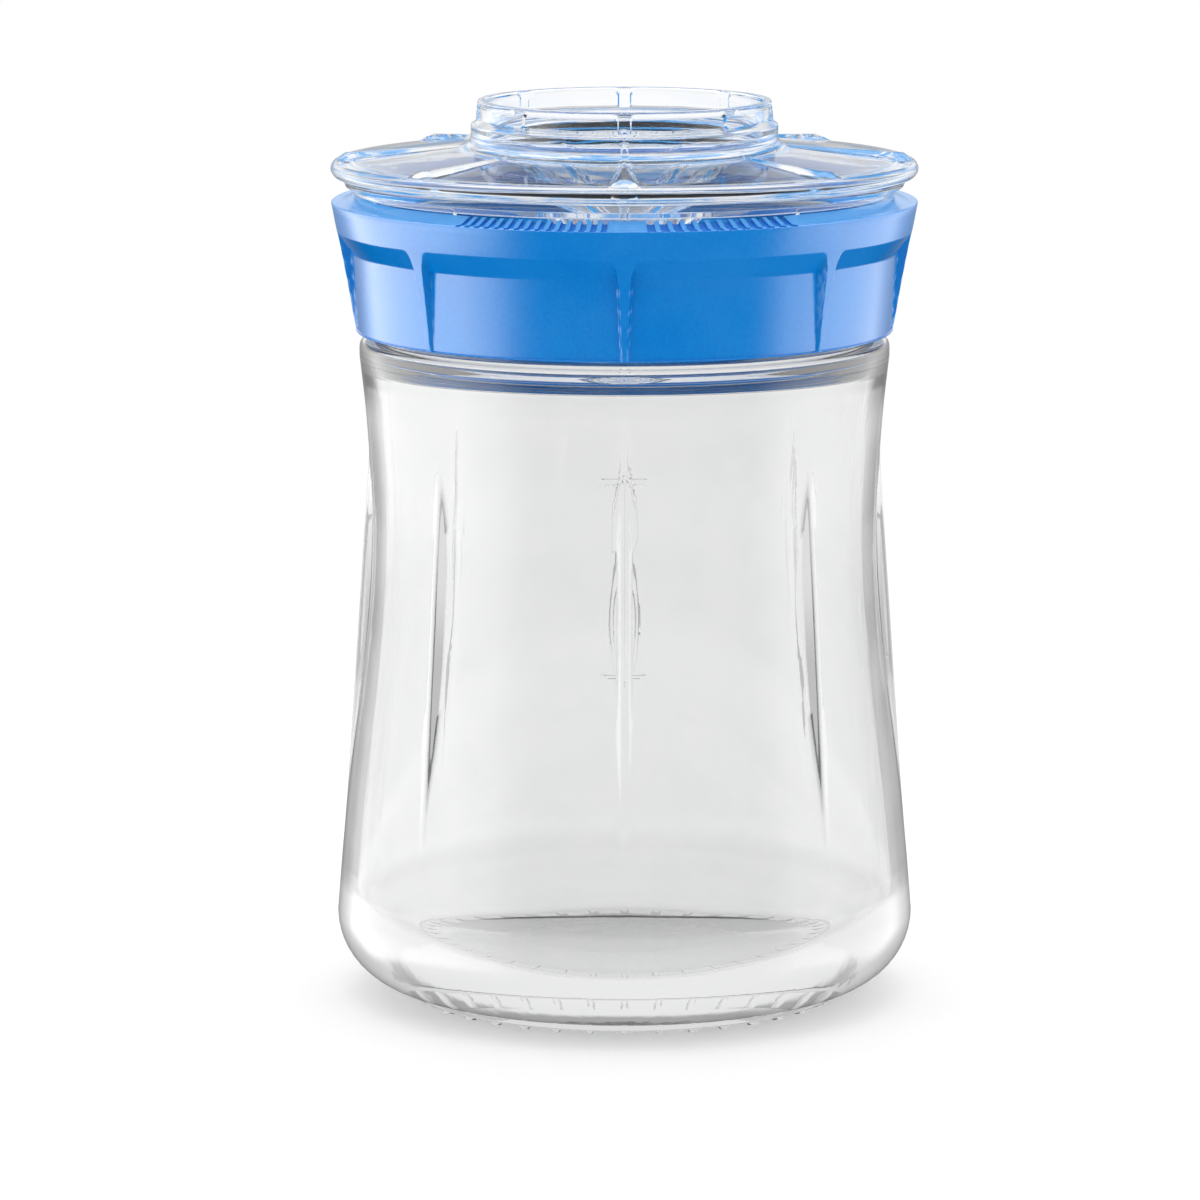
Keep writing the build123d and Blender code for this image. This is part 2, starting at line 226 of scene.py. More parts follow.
def divided(outline: np.ndarray, longest: float, closed: bool = False) -> np.ndarray:
    """Outline with its long runs cut into equal steps no longer than longest.

    Args:
        outline: Points, one row each.
        longest: Longest step allowed, in mm.
        closed: Whether the last point joins the first.

    Returns:
        Points, one row each, the old ones among them.
    """
    following = np.roll(outline, -1, axis=0) if closed else outline[1:]
    leading = outline if closed else outline[:-1]
    lengths = np.linalg.norm(following - leading, axis=1)
    counts = np.maximum(1, np.ceil(lengths / longest)).astype(int)
    runs = [
        start + (end - start) * np.arange(count)[:, None] / count
        for start, end, count in zip(leading, following, counts)
    ]
    return np.vstack(runs if closed else [*runs, outline[-1:]])


def merged_angles(groups: list[np.ndarray], closest: float) -> np.ndarray:
    """Rising angles round one turn from several groups, without near doubles.

    Args:
        groups: Angles in radians, in any order.
        closest: Two angles nearer than this, in radians, become one.

    Returns:
        Rising angles from 0 to below one turn.
    """
    angles = np.sort(np.concatenate(groups) % FULL_TURN)
    keep = np.concatenate(([True], np.diff(angles) > closest))
    angles = angles[keep]
    if angles[0] + FULL_TURN - angles[-1] < closest:
        angles = angles[:-1]
    return angles


def both_ways(offsets: list[float] | np.ndarray) -> np.ndarray:
    """Offsets and their negatives, rising, without doubles."""
    return np.unique(np.concatenate((np.negative(offsets), offsets)))


def around(centres: np.ndarray, offsets: list[float] | np.ndarray) -> np.ndarray:
    """Every centre angle with every offset in degrees added, in radians."""
    return (np.asarray(centres)[:, None] + np.radians(offsets)[None]).ravel()


def evenly(count: int, first: float = FRONT) -> np.ndarray:
    """Count angles spread round one turn from first, in radians."""
    return first + np.arange(count) * FULL_TURN / count


def swept(outline: np.ndarray, angles: np.ndarray) -> tuple[np.ndarray, np.ndarray]:
    """Radius and height grids of an outline turned through angles, rows by columns."""
    shape = np.ones(len(angles))
    return outline[:, :1] * shape, outline[:, 1:] * shape


def turned_mesh(
    name: str,
    radius: np.ndarray,
    height: np.ndarray,
    angles: np.ndarray,
    closed_rows: bool = False,
    poles: tuple[bool, bool] = (False, False),
    hidden: np.ndarray | None = None,
    bridges: list[tuple[np.ndarray, np.ndarray]] | None = None,
    crease: float = 35.0,
) -> bpy.types.Object:
    """Piece from a turned grid: x = r cos a, y = r sin a, z = height, in mm.

    Rows run along the section and columns round the turn. A quad joins (i, j), (i, j+1),
    (i+1, j+1) and (i+1, j), so a section drawn with the material on its left points
    outwards. A pole closes the first or last row with one point and a fan of triangles.

    Args:
        name: Name of the piece.
        radius: Radii, rows by columns.
        height: Heights, rows by columns.
        angles: Angle of each column, rising, in radians.
        closed_rows: Whether the last row joins the first.
        poles: Whether a point closes the first row, and the last row.
        hidden: Quads that are left out, as a mask of rows by columns.
        bridges: Pairs of vertex number runs that are joined by strips of quads.
        crease: Edges sharper than this, in degrees, stay sharp.

    Returns:
        The new object, linked to the scene, with its place in its mesh.
    """
    rows, columns = radius.shape
    points = np.stack((radius * np.cos(angles), radius * np.sin(angles), height), axis=-1) * MM
    points = points.reshape(-1, 3)
    numbers = np.arange(rows * columns).reshape(rows, columns)
    across = np.roll(numbers, -1, axis=1)
    upper = np.roll(numbers, -1, axis=0) if closed_rows else numbers[1:]
    upper_across = np.roll(upper, -1, axis=1)
    count = len(upper)
    quads = np.stack((numbers[:count], across[:count], upper_across, upper), axis=-1)
    if hidden is not None:
        quads = quads[~hidden[:count]]
    faces = [quads.reshape(-1, 4)]
    for low, high in bridges or []:
        faces.append(np.stack((low[:-1], low[1:], high[1:], high[:-1]), axis=-1))
    for wanted, row, order in zip(poles, (0, rows - 1), ((0, 2, 1), (0, 1, 2))):
        if wanted:
            pole = np.full(columns, len(points))
            fan = np.stack((numbers[row], across[row], pole), axis=-1)
            faces.append(fan[:, list(order)])
            points = np.vstack((points, [[0.0, 0.0, height[row].mean() * MM]]))
    mesh = bpy.data.meshes.new(name)
    mesh.from_pydata(points, [], [face for group in faces for face in group.tolist()])
    mesh.shade_smooth()
    mesh.validate()
    mesh.set_sharp_from_angle(angle=math.radians(crease))
    piece = bpy.data.objects.new(name, mesh)
    bpy.context.scene.collection.objects.link(piece)
    return piece


def turned_ring(
    name: str, corners: list[Corner], longest: float, columns: int
) -> bpy.types.Object:
    """Ring with a closed section.

    Args:
        name: Name of the piece.
        corners: Corners of the section, in mm, the material on the left.
        longest: Longest step along the section, in mm.
        columns: Number of steps round the turn.

    Returns:
        The new object.
    """
    angles = evenly(columns, 0.0)
    outline = divided(filleted(*corners, closed=True), longest, closed=True)
    return turned_mesh(name, *swept(outline, angles), angles, closed_rows=True)


# Shader nodes written as expressions

Colour = tuple[float, float, float, float]


class Signal:
    """One output socket of a shader node, with the arithmetic of plain numbers."""

    def __init__(self, graph: "Graph", socket: bpy.types.NodeSocket) -> None:
        """Keeps the graph and the socket."""
        self.graph = graph
        self.socket = socket

    def _math(self, operation: str, *values: "Signal | float") -> "Signal":
        """Math node of that operation on the values."""
        return self.graph.node("ShaderNodeMath", {"operation": operation}, dict(enumerate(values)))

    def __add__(self, other: "Signal | float") -> "Signal":
        """Sum."""
        return self._math("ADD", self, other)

    def __radd__(self, other: float) -> "Signal":
        """Sum with a number on the left."""
        return self._math("ADD", other, self)

    def __sub__(self, other: "Signal | float") -> "Signal":
        """Difference."""
        return self._math("SUBTRACT", self, other)

    def __rsub__(self, other: float) -> "Signal":
        """Difference from a number."""
        return self._math("SUBTRACT", other, self)

    def __mul__(self, other: "Signal | float") -> "Signal":
        """Product."""
        return self._math("MULTIPLY", self, other)

    def __rmul__(self, other: float) -> "Signal":
        """Product with a number on the left."""
        return self._math("MULTIPLY", other, self)

    def __truediv__(self, other: "Signal | float") -> "Signal":
        """Quotient."""
        return self._math("DIVIDE", self, other)

    def __pow__(self, other: "Signal | float") -> "Signal":
        """Power."""
        return self._math("POWER", self, other)

    def larger(self, other: "Signal | float") -> "Signal":
        """The larger of two values."""
        return self._math("MAXIMUM", self, other)

    def step(self, low: float, high: float, start: float = 0.0, end: float = 1.0) -> "Signal":
        """Smooth step of the value from start at low to end at high."""
        inputs = {"Value": self, "From Min": low, "From Max": high, "To Min": start, "To Max": end}
        return self.graph.node("ShaderNodeMapRange", {"interpolation_type": "SMOOTHSTEP"}, inputs)

    def parts(self) -> tuple["Signal", "Signal", "Signal"]:
        """The x, y and z of a vector."""
        split = self.graph.node("ShaderNodeSeparateXYZ", {}, {0: self}).socket.node
        return tuple(Signal(self.graph, axis) for axis in split.outputs)


class Graph:
    """Node tree of a material or world, built by expressions."""

    def __init__(self, tree: bpy.types.NodeTree) -> None:
        """Empties the tree and keeps it."""
        self.tree = tree
        tree.nodes.clear()

    def node(
        self,
        kind: str,
        settings: dict[str, object],
        inputs: dict[object, object],
        output: object = 0,
    ) -> Signal:
        """Adds a node.

        Args:
            kind: Type name of the node.
            settings: Properties of the node by name.
            inputs: Values or signals by socket name or number.
            output: Name or number of the output that is returned.

        Returns:
            The chosen output.
        """
        made = self.tree.nodes.new(kind)
        for key, value in settings.items():
            setattr(made, key, value)
        for key, value in inputs.items():
            socket = made.inputs[key]
            if isinstance(value, Signal):
                self.tree.links.new(value.socket, socket)
            else:
                socket.default_value = value
        return Signal(self, made.outputs[output])

    def place(self) -> Signal:
        """Object coordinates, in metres."""
        return self.node("ShaderNodeTexCoord", {}, {}, "Object")

    def scaled(self, place: Signal, scale: tuple[float, float, float]) -> Signal:
        """Place stretched by a scale along each axis."""
        return self.node("ShaderNodeMapping", {}, {"Vector": place, "Scale": scale})

    def noise(self, at: Signal, scale: float, detail: float = 2.0, rough: float = 0.5) -> Signal:
        """Noise from 0 to 1 with that many waves per metre."""
        inputs = {"Vector": at, "Scale": scale, "Detail": detail, "Roughness": rough}
        return self.node("ShaderNodeTexNoise", {}, inputs)

    def mix(self, share: Signal, first: object, second: object) -> Signal:
        """Colour part of the way from first to second."""
        inputs = {0: share, 6: first, 7: second}
        return self.node("ShaderNodeMix", {"data_type": "RGBA"}, inputs, 2)

    def blend(self, share: Signal, first: Signal, second: Signal) -> Signal:
        """Shader part of the way from first to second."""
        return self.node("ShaderNodeMixShader", {}, {0: share, 1: first, 2: second})

    def bump(self, height: Signal, distance: float) -> Signal:
        """Normal tipped by a height that is measured in units of distance, in metres."""
        inputs = {"Height": height, "Distance": distance, "Strength": 1.0}
        return self.node("ShaderNodeBump", {}, inputs)

    def path(self, *names: str) -> list[Signal]:
        """What is known of the light path, one signal for each name."""
        path = self.tree.nodes.new("ShaderNodeLightPath")
        return [Signal(self, path.outputs[name]) for name in names]

    def skin(self, inputs: dict[str, object]) -> Signal:
        """Main shader of a solid surface."""
        return self.node("ShaderNodeBsdfPrincipled", {}, inputs)

    def clear(self) -> Signal:
        """Shader that lets all light fall straight through."""
        return self.node("ShaderNodeBsdfTransparent", {}, {})

    def shining(self, colour: Colour) -> Signal:
        """Shader that shines in one colour."""
        return self.node("ShaderNodeEmission", {}, {"Color": colour})

    def finish(self, surface: Signal, kind: str = "ShaderNodeOutputMaterial") -> None:
        """Joins a shader to the output."""
        self.tree.links.new(surface.socket, self.tree.nodes.new(kind).inputs["Surface"])


def new_material(name: str) -> tuple[bpy.types.Material, Graph]:
    """Makes an empty node material.

    Args:
        name: Name of the material.

    Returns:
        The material and its graph.
    """
    material = bpy.data.materials.new(name)
    material.use_nodes = True
    return material, Graph(material.node_tree)


def grey(level: float) -> Colour:
    """Scene colour of a plain grey."""
    return (level, level, level, 1.0)


def from_screen(red: int, green: int, blue: int) -> Colour:
    """Scene colour of a screen colour: c / 12.92 when dark, ((c + 0.055) / 1.055)^2.4 above.

    Args:
        red: Red, from 0 to 255.
        green: Green, from 0 to 255.
        blue: Blue, from 0 to 255.

    Returns:
        The colour.
    """
    parts = np.array([red, green, blue]) / 255.0
    linear = np.where(parts <= 0.04045, parts / 12.92, ((parts + 0.055) / 1.055) ** 2.4)
    return (*linear.tolist(), 1.0)


@dataclass(frozen=True)
class Caught:
    """Painted glow that paths caught inside a clear wall shine in place of black.

    A path is caught after more than that many mirrorings, or that many bounces of any kind.
    """

    dim: Colour
    light: Colour
    mirrors: float
    bounces: float = 6.5

    def output(self, g: Graph, surface: Signal, passing: float, bright: Signal) -> None:
        """Joins a clear shader to the output, so that it lets plain light pass and caught paths
        shine a painted glow instead of black.

        Args:
            g: Graph of the material.
            surface: The clear shader.
            passing: Share of plain light that falls straight through.
            bright: Painted glow of a caught path, from 0 for the dim colour to 1 for the light
                one.
        """
        shadow, matt, depth, mirrors = g.path(
            "Is Shadow Ray", "Is Diffuse Ray", "Ray Depth", "Glossy Depth"
        )
        gap = g.clear()
        # Painted glow: caught paths shine these colours though no lamp is there.
        dim, light = g.shining(self.dim), g.shining(self.light)
        caught = depth.step(self.bounces - 0.1, self.bounces + 0.1)
        caught = caught.larger(mirrors.step(self.mirrors - 0.1, self.mirrors + 0.1))
        kept = g.blend(caught, surface, g.blend(bright, dim, light))
        g.finish(g.blend(shadow.larger(matt) * passing, kept, gap))


@dataclass(frozen=True)
class PressedGlass:
    """Thick clear pressed glass: slow waves in the skin, faint drawn cords, tiny smears.

    Paths that are caught in the glass shine a painted glow, painted darkest inside the lid,
    above neck_base, as painted shade, and partly dimmed down the flank, from flank_base to
    flank_top. Lengths in metres.
    """

    tint: Colour = from_screen(244, 244, 244)
    smear_tint: Colour = from_screen(241, 242, 242)
    index: float = 1.5
    wave_scale: float = 55.0
    wave_depth: float = 0.00009
    cord_scale: tuple[float, float, float] = (420.0, 420.0, 22.0)
    cord_depth: float = 0.000015
    smear_scale: float = 140.0
    smear_roughness: float = 0.035
    passing: float = 0.7
    caught: Caught = Caught(grey(0.15), grey(0.8), 1.5)
    flank_base: float = 0.014
    flank_top: float = 0.084
    flank_dimming: float = 0.35
    neck_base: float = 0.109
    neck_dimming: float = 0.9

    def material(self) -> bpy.types.Material:
        """Builds the finish.

        Returns:
            The material.
        """
        material, g = new_material("pressed_glass")
        place = g.place()
        waves = g.noise(place, self.wave_scale, 1.5, 0.4)
        cords = g.noise(g.scaled(place, self.cord_scale), 1.0)
        smears = g.noise(place, self.smear_scale, 3.0, 0.6)
        surface = g.skin(
            {
                "Base Color": g.mix(smears.step(0.3, 0.8), self.tint, self.smear_tint),
                "Roughness": smears.step(0.35, 0.9, 0.0, self.smear_roughness),
                "IOR": self.index,
                "Transmission Weight": 1.0,
                "Normal": g.bump(waves * self.wave_depth + cords * self.cord_depth, 1.0),
            }
        )
        # Painted shade on the painted glow: darker inside the lid and down the flank.
        _, _, z = place.parts()
        flank = self.flank_dimming * z.step(self.flank_base, self.flank_base + 0.008)
        flank = flank * z.step(self.flank_top - 0.018, self.flank_top, 1.0, 0.0)
        bright = 1.0 - self.neck_dimming * z.step(self.neck_base, self.neck_base + 0.008) - flank
        self.caught.output(g, surface, self.passing, bright)
        return material


@dataclass(frozen=True)
class ClearMoulding:
    """Clear moulded plastic with faint flow lines, hairline wiping marks and a painted azure glow.
    """

    tint: Colour = from_screen(250, 251, 253)
    flow_tint: Colour = from_screen(246, 249, 253)
    index: float = 1.49
    flow_scale: tuple[float, float, float] = (60.0, 60.0, 180.0)
    flow_depth: float = 0.00006
    wiping_scale: tuple[float, float, float] = (900.0, 900.0, 60.0)
    wiping_roughness: float = 0.06
    passing: float = 0.85
    caught: Caught = Caught((0.05, 0.36, 0.82, 1.0), (0.88, 0.89, 0.9, 1.0), 2.5)

    def material(self) -> bpy.types.Material:
        """Builds the finish.

        Returns:
            The material.
        """
        material, g = new_material("clear_moulding")
        place = g.place()
        flow = g.noise(g.scaled(place, self.flow_scale), 1.0, 2.0, 0.45)
        wiping = g.noise(g.scaled(place, self.wiping_scale), 1.0, 3.0, 0.6)
        surface = g.skin(
            {
                "Base Color": g.mix(flow.step(0.3, 0.7), self.tint, self.flow_tint),
                "Roughness": wiping.step(0.5, 0.85, 0.01, self.wiping_roughness),
                "IOR": self.index,
                "Transmission Weight": 1.0,
                "Normal": g.bump(flow, self.flow_depth),
            }
        )
        # Painted glow: caught paths shine azure and pale grey, by the flow noise.
        self.caught.output(g, surface, self.passing, flow.step(0.44, 0.56))
        return material


@dataclass(frozen=True)
class GrainedPlastic:
    """Opaque azure plastic with the fine matte grain of an etched mould.

    The rim's face is painted paler, a painted sheen, and the slots sunk in it are painted
    darker, a painted shade, and are rougher. The face stands at face_height out to land_radius,
    and rises inwards of it by face_slope; the strip from rim_start to rim_end holds the slots.
    Lengths in metres.
    """

    colour: Colour = from_screen(0, 132, 216)
    deep_colour: Colour = from_screen(0, 123, 208)
    # Painted sheen: the rim's face is coloured paler where a sheen would light it.
    painted_rim_sheen: Colour = from_screen(84, 160, 232)
    # Painted shade: the sunk slots are coloured darker where shade falls in them.
    painted_slot_shade: Colour = from_screen(0, 112, 208)
    grain_scale: float = 2600.0
    grain_depth: float = 0.000012
    cloud_scale: float = 45.0
    fleck_scale: float = 1500.0
    roughness: float = 0.16
    slot_roughness: float = 0.4
    index: float = 1.5
    land_radius: float = 0.0531
    face_height: float = 0.1513
    face_slope: float = 0.4655
    slot_floor: float = 0.151
    rim_start: float = 0.0499
    rim_end: float = 0.0544

    def material(self) -> bpy.types.Material:
        """Builds the finish.

        Returns:
            The material.
        """
        material, g = new_material("grained_plastic")
        place = g.place()
        grain = g.noise(place, self.grain_scale, 2.0, 0.6)
        cloud = g.noise(place, self.cloud_scale, 3.0, 0.55)
        fleck = g.noise(place, self.fleck_scale, 1.0)
        shade = (cloud * 0.5 + fleck * 0.5).step(0.35, 0.65)
        x, y, z = place.parts()
        reach = (x * x + y * y) ** 0.5
        face = self.face_height + self.face_slope * (self.land_radius - reach).larger(0.0)
        strip = reach.step(self.rim_start, self.rim_start + 0.0003)
        # Painted shade: mask of the sunk slots, which are coloured darker; their extra roughness
        # is real.
        sunk = (z - face).step(-0.00022, -0.0001, 1.0, 0.0)
        sunk = sunk * z.step(self.slot_floor - 0.00005, self.slot_floor + 0.00005)
        slot = sunk * strip * reach.step(self.rim_end - 0.0002, self.rim_end, 1.0, 0.0)
        # Painted sheen: mask of the rim's face, which is coloured paler.
        rim = (z - face).step(-0.00008, -0.00003) * strip
        plain = g.mix(rim, g.mix(shade, self.deep_colour, self.colour), self.painted_rim_sheen)
        rough = cloud.step(0.3, 0.7, self.roughness - 0.04, self.roughness + 0.05)
        surface = g.skin(
            {
                "Base Color": g.mix(slot, plain, self.painted_slot_shade),
                "Roughness": rough + self.slot_roughness * slot,
                "IOR": self.index,
                "Specular IOR Level": 1.0,
                "Normal": g.bump(grain, self.grain_depth),
            }
        )
        g.finish(surface)
        return material


@dataclass(frozen=True)
class SoftSilicone:
    """Milky food silicone with a satin skin."""

    colour: Colour = from_screen(226, 231, 236)
    cloud_colour: Colour = from_screen(216, 222, 229)
    index: float = 1.43
    cloud_scale: float = 90.0
    skin_scale: float = 1400.0
    skin_depth: float = 0.00002
    roughness: Pair = (0.42, 0.58)
    clearness: float = 0.25

    def material(self) -> bpy.types.Material:
        """Builds the finish.

        Returns:
            The material.
        """
        material, g = new_material("soft_silicone")
        place = g.place()
        cloud = g.noise(place, self.cloud_scale, 3.0)
        skin = g.noise(place, self.skin_scale)
        surface = g.skin(
            {
                "Base Color": g.mix(cloud.step(0.3, 0.7), self.colour, self.cloud_colour),
                "Roughness": skin.step(0.3, 0.7, *self.roughness),
                "IOR": self.index,
                "Transmission Weight": self.clearness,
                "Normal": g.bump(skin, self.skin_depth),
            }
        )
        g.finish(surface)
        return material


def finish_piece(
    piece: bpy.types.Object, material: bpy.types.Material, body: Body, node: str
) -> None:
    """Gives a piece its finish and hangs it on its body in place of a CAD node.

    Args:
        piece: The new piece.
        material: Its finish.
        body: Body that it rides on.
        node: CAD node that it stands for.
    """
    piece.data.materials.append(material)
    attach(piece, body.value)
    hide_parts(node)
    log.info("%s: %d faces", piece.name, len(piece.data.polygons))


@dataclass(frozen=True)
class Thread:
    """Single-start round thread, right-handed: the ridge climbs one pitch a turn. Sizes in mm."""

    pitch: float = 4.0
    reach: float = 0.8
    ridge_half: float = 0.375
    ridge_soft: Pair = (0.0, 0.5)
    low: float = 127.8
    high: float = 137.0
    run_out: float = 1.2
    row_step: float = 0.45

    def share(self, angles: np.ndarray, height: np.ndarray, offset: float) -> np.ndarray:
        """How much of the ridge stands at each angle and height.

        The distance to the nearest turn of the helix is the height, less pitch * angle /
        full turn and the offset, wrapped to half a pitch each way.

        Args:
            angles: Angles, in radians.
            height: Heights, in mm.
            offset: Height of the helix at the angle 0, in mm.

        Returns:
            Shares from 0 to 1.
        """
        rise = height - self.pitch * angles / FULL_TURN - offset
        distance = (rise + self.pitch / 2) % self.pitch - self.pitch / 2
        run = raised(height, self.low, self.high, self.run_out)
        return plateau(distance, self.ridge_half, self.ridge_soft) * run


@dataclass
class GlassJar:
    """Waisted glass jar with upright ribs, a nubbed foot and a threaded neck. Sizes in mm.

    Curves are (radius, height) knots. A softness says how far inside the stated size a
    raised form's side starts, and how wide that side is.
    """

    material: bpy.types.Material
    thread: Thread
    pole_radius: float = 2.0
    punt_radius: float = 22.5
    punt_height: float = 3.2
    foot_radius: float = 42.3
    foot_lift: float = 1.0
    foot_land: float = 4.8
    foot_row_step: float = 2.6
    heel_radius: float = 43.0
    heel_height: float = 2.4
    shoulder_top: float = 125.2
    neck_radius: float = 46.4
    rim_height: float = 139.0
    rim_round: float = 1.2
    mouth: Pair = (42.8, 128.0)
    throat: Pair = (44.9, 123.6)
    floor_edge: Pair = (34.0, 7.3)
    floor_radii: tuple[float, ...] = (22.0, 10.0, 2.0)
    flank_rows: int = 50
    wall_rows: int = 31
    flank: tuple[Pair, ...] = (
        (54.7, 15.7), (54.0, 24.4), (52.9, 36.1), (51.8, 46.0), (50.3, 58.0), (48.95, 70.0),
        (48.05, 82.0), (47.8, 92.0), (48.1, 102.0), (48.8, 112.0), (49.9, 122.2),
    )
    wall: tuple[Pair, ...] = (
        (51.1, 21.7), (49.95, 34.0), (48.7, 46.0), (47.3, 58.0), (46.05, 70.0),
        (45.15, 82.0), (44.9, 92.0), (45.15, 102.0), (45.9, 112.0), (46.95, 119.2),
    )
    rib_count: int = 8
    rib_radius: float = 1.42
    rib_foot: Pair = (53.35, 30.0)
    rib_top: Pair = (47.7, 110.0)
    rib_sink: float = 2.5
    rib_side_slope: float = 4.0
    rib_fillet: float = 0.28
    nub_count: int = 40
    nub_circle: float = 40.2
    nub_half: Pair = (0.55, 1.6)
    nub_side_soft: Pair = (0.2, 0.35)
    nub_end_soft: Pair = (0.3, 0.6)
    bar_levels: tuple[Pair, ...] = ((90.9, 1.0), (51.1, 0.6))
    bar_half_length: float = 5.3
    bar_raise: float = 0.35
    bar_end_soft: Pair = (0.3, 0.5)
    bar_side_soft: Pair = (0.1, 0.25)

    def flank_heights(self) -> np.ndarray:
        """Heights of the flank's rows: even, with four more across each bar of the back.

        Returns:
            Rising heights.
        """
        even = np.linspace(self.flank[0][1], self.flank[-1][1], self.flank_rows)
        close = np.array([-0.5, -0.32, 0.32, 0.5]) * 1.4
        bars = [level + close * thick for level, thick in self.bar_levels]
        return np.unique(np.concatenate((even, *bars)))

    def outside(self) -> np.ndarray:
        """Section of the outside, from the centre of the punt up to the mouth.

        Returns:
            Points, one row each, the material on the left.
        """
        shoulder_radius, shoulder_height = self.flank[-1]
        heel = (self.heel_radius, self.heel_height)
        foot = filleted(
            Corner(self.pole_radius, self.punt_height),
            Corner(self.punt_radius, self.punt_height, 9.0),
            Corner(self.foot_radius - self.foot_land, self.foot_lift, 2.5),
            Corner(self.foot_radius, self.foot_lift, 0.8),
            Corner(*heel),
        )
        top = filleted(
            Corner(shoulder_radius, shoulder_height),
            Corner(shoulder_radius, self.shoulder_top, 3.0, 6),
            Corner(self.neck_radius, self.shoulder_top, 0.8),
            Corner(self.neck_radius, self.rim_height, self.rim_round, 5),
            Corner(self.mouth[0], self.rim_height, self.rim_round, 5),
            Corner(*self.mouth),
        )
        neck = (top[:, 1] > self.shoulder_top + 0.5) & (top[:, 0] > self.neck_radius - 0.01)
        first, last = np.flatnonzero(neck)[[0, -1]]
        step = self.thread.row_step
        climb = np.arange(top[first, 1] + step, top[last, 1] - 0.2, step)
        screw = np.column_stack((np.full(len(climb), self.neck_radius), climb))
        return np.vstack(
            (
                divided(foot, self.foot_row_step)[:-1],
                upright_arc(self.flank[0], heel, 12)[:0:-1],
                risen(self.flank, self.flank_heights()),
                top[1 : first + 1],
                screw,
                top[last:],
            )
        )

    def inside(self) -> np.ndarray:
        """Section of the hollow, from the throat down to the centre of the floor.

        Returns:
            Points, one row each, the material on the left.
        """
        heights = np.linspace(self.wall[-1][1], self.wall[0][1], self.wall_rows)
        throat = upright_arc(self.mouth, self.throat, 5)
        turn = upright_arc(self.wall[-1], self.throat, 5)[::-1]
        floor = upright_arc(self.wall[0], self.floor_edge, 12)
        flat = np.array([(radius, self.floor_edge[1]) for radius in self.floor_radii])
        return np.vstack((throat[1:], turn[1:-1], risen(self.wall, heights), floor[1:], flat))

    def columns(self) -> np.ndarray:
        """Angles of the grid: twelve to each nub, closest together over the nub and the rib."""
        offsets = [-4.5, -2.9, -1.75, -1.1, -0.8, -0.4, 0.0, 0.4, 0.8, 1.1, 1.75, 2.9]
        return merged_angles([around(evenly(self.nub_count), offsets)], 0.0005)

    def ribbed(self, angles: np.ndarray, radius: np.ndarray, rise: np.ndarray) -> np.ndarray:
        """Flank with its ribs and the two bars on its back.

        A rib is a straight round bar, crest - r + sqrt(r^2 - t^2) at the distance t from its
        middle, whose crest sinks below the flank at both ends. The larger of it and the
        flank counts, with a fillet between. The bars are plateaus of the angle and height.

        Args:
            angles: Angle of each column.
            radius: Radii of the plain flank, rows by columns.
            rise: Heights of the flank, rows by columns.

        Returns:
            Radii, rows by columns.
        """
        tall = self.rib_top[1] - self.rib_foot[1]
        crest = between(self.rib_foot[0], self.rib_top[0], (rise - self.rib_foot[1]) / tall)
        for end, flank_end in ((self.rib_foot, self.flank[0]), (self.rib_top, self.flank[-1])):
            crest = crest - self.rib_sink * smooth_step(end[1], flank_end[1], rise)
        across = radius * np.sin(nearest_turn(angles, self.rib_count, FRONT)[None])
        bar = np.sqrt(np.maximum(self.rib_radius**2 - across**2, 0.0))
        beside = np.maximum(np.abs(across) - self.rib_radius, 0.0)
        bar = crest - self.rib_radius + bar - self.rib_side_slope * beside
        radius = smooth_larger(bar, radius, self.rib_fillet)

        back = turn_from(angles, BACK)[None]
        for level, thick in self.bar_levels:
            length = plateau(radius * back, self.bar_half_length, self.bar_end_soft)
            band = plateau(rise - level, thick / 2, self.bar_side_soft)
            radius = radius + self.bar_raise * length * band * (np.abs(back) < 1.0)
        return radius

    def build(self) -> bpy.types.Object:
        """Builds the jar: the turned section, with ribs and bars, thread and nubs.

        Returns:
            The jar.
        """
        angles = self.columns()
        outer = self.outside()
        radius, height = swept(np.vstack((outer, self.inside())), angles)
        outside = np.arange(len(radius)) < len(outer)
        level, reach = height[:, 0], radius[:, 0]

        flank = outside & (level > self.flank[0][1]) & (level < self.flank[-1][1])
        neck = outside & (level > self.shoulder_top + 0.4) & (reach > self.neck_radius - 0.01)
        under = outside & (level < self.heel_height)
        radius[flank] = self.ribbed(angles, radius[flank], height[flank])
        radius[neck] += self.thread.reach * self.thread.share(angles[None], height[neck], 0.0)

        nub = nearest_turn(angles, self.nub_count, FRONT)[None]
        wide = plateau(radius[under] * nub, self.nub_half[0], self.nub_side_soft)
        long = plateau(radius[under] - self.nub_circle, self.nub_half[1], self.nub_end_soft)
        height[under] = np.maximum(height[under] - self.foot_lift * wide * long, 0.0)

        piece = turned_mesh("glass_jar", radius, height, angles, poles=(True, True), crease=50.0)
        finish_piece(piece, self.material, Body.JAR, "jar")
        return piece


@dataclass
class FlatGasket:
    """Flat silicone gasket under the lid's flange. Sizes in mm."""

    material: bpy.types.Material
    bore_radius: float = 42.4
    outer_radius: float = 47.2
    base: float = 139.05
    thickness: float = 2.0
    fillet: float = 0.35

    def build(self) -> bpy.types.Object:
        """Turns the rounded rectangle of its section.

        Returns:
            The gasket.
        """
        top, fillet = self.base + self.thickness, self.fillet
        corners = [
            Corner(self.bore_radius, self.base, fillet),
            Corner(self.outer_radius, self.base, fillet),
            Corner(self.outer_radius, top, fillet),
            Corner(self.bore_radius, top, fillet),
        ]
        piece = turned_ring("jar_gasket_ring", corners, 1.2, 240)
        finish_piece(piece, self.material, Body.GASKET, "jar_gasket")
        return piece


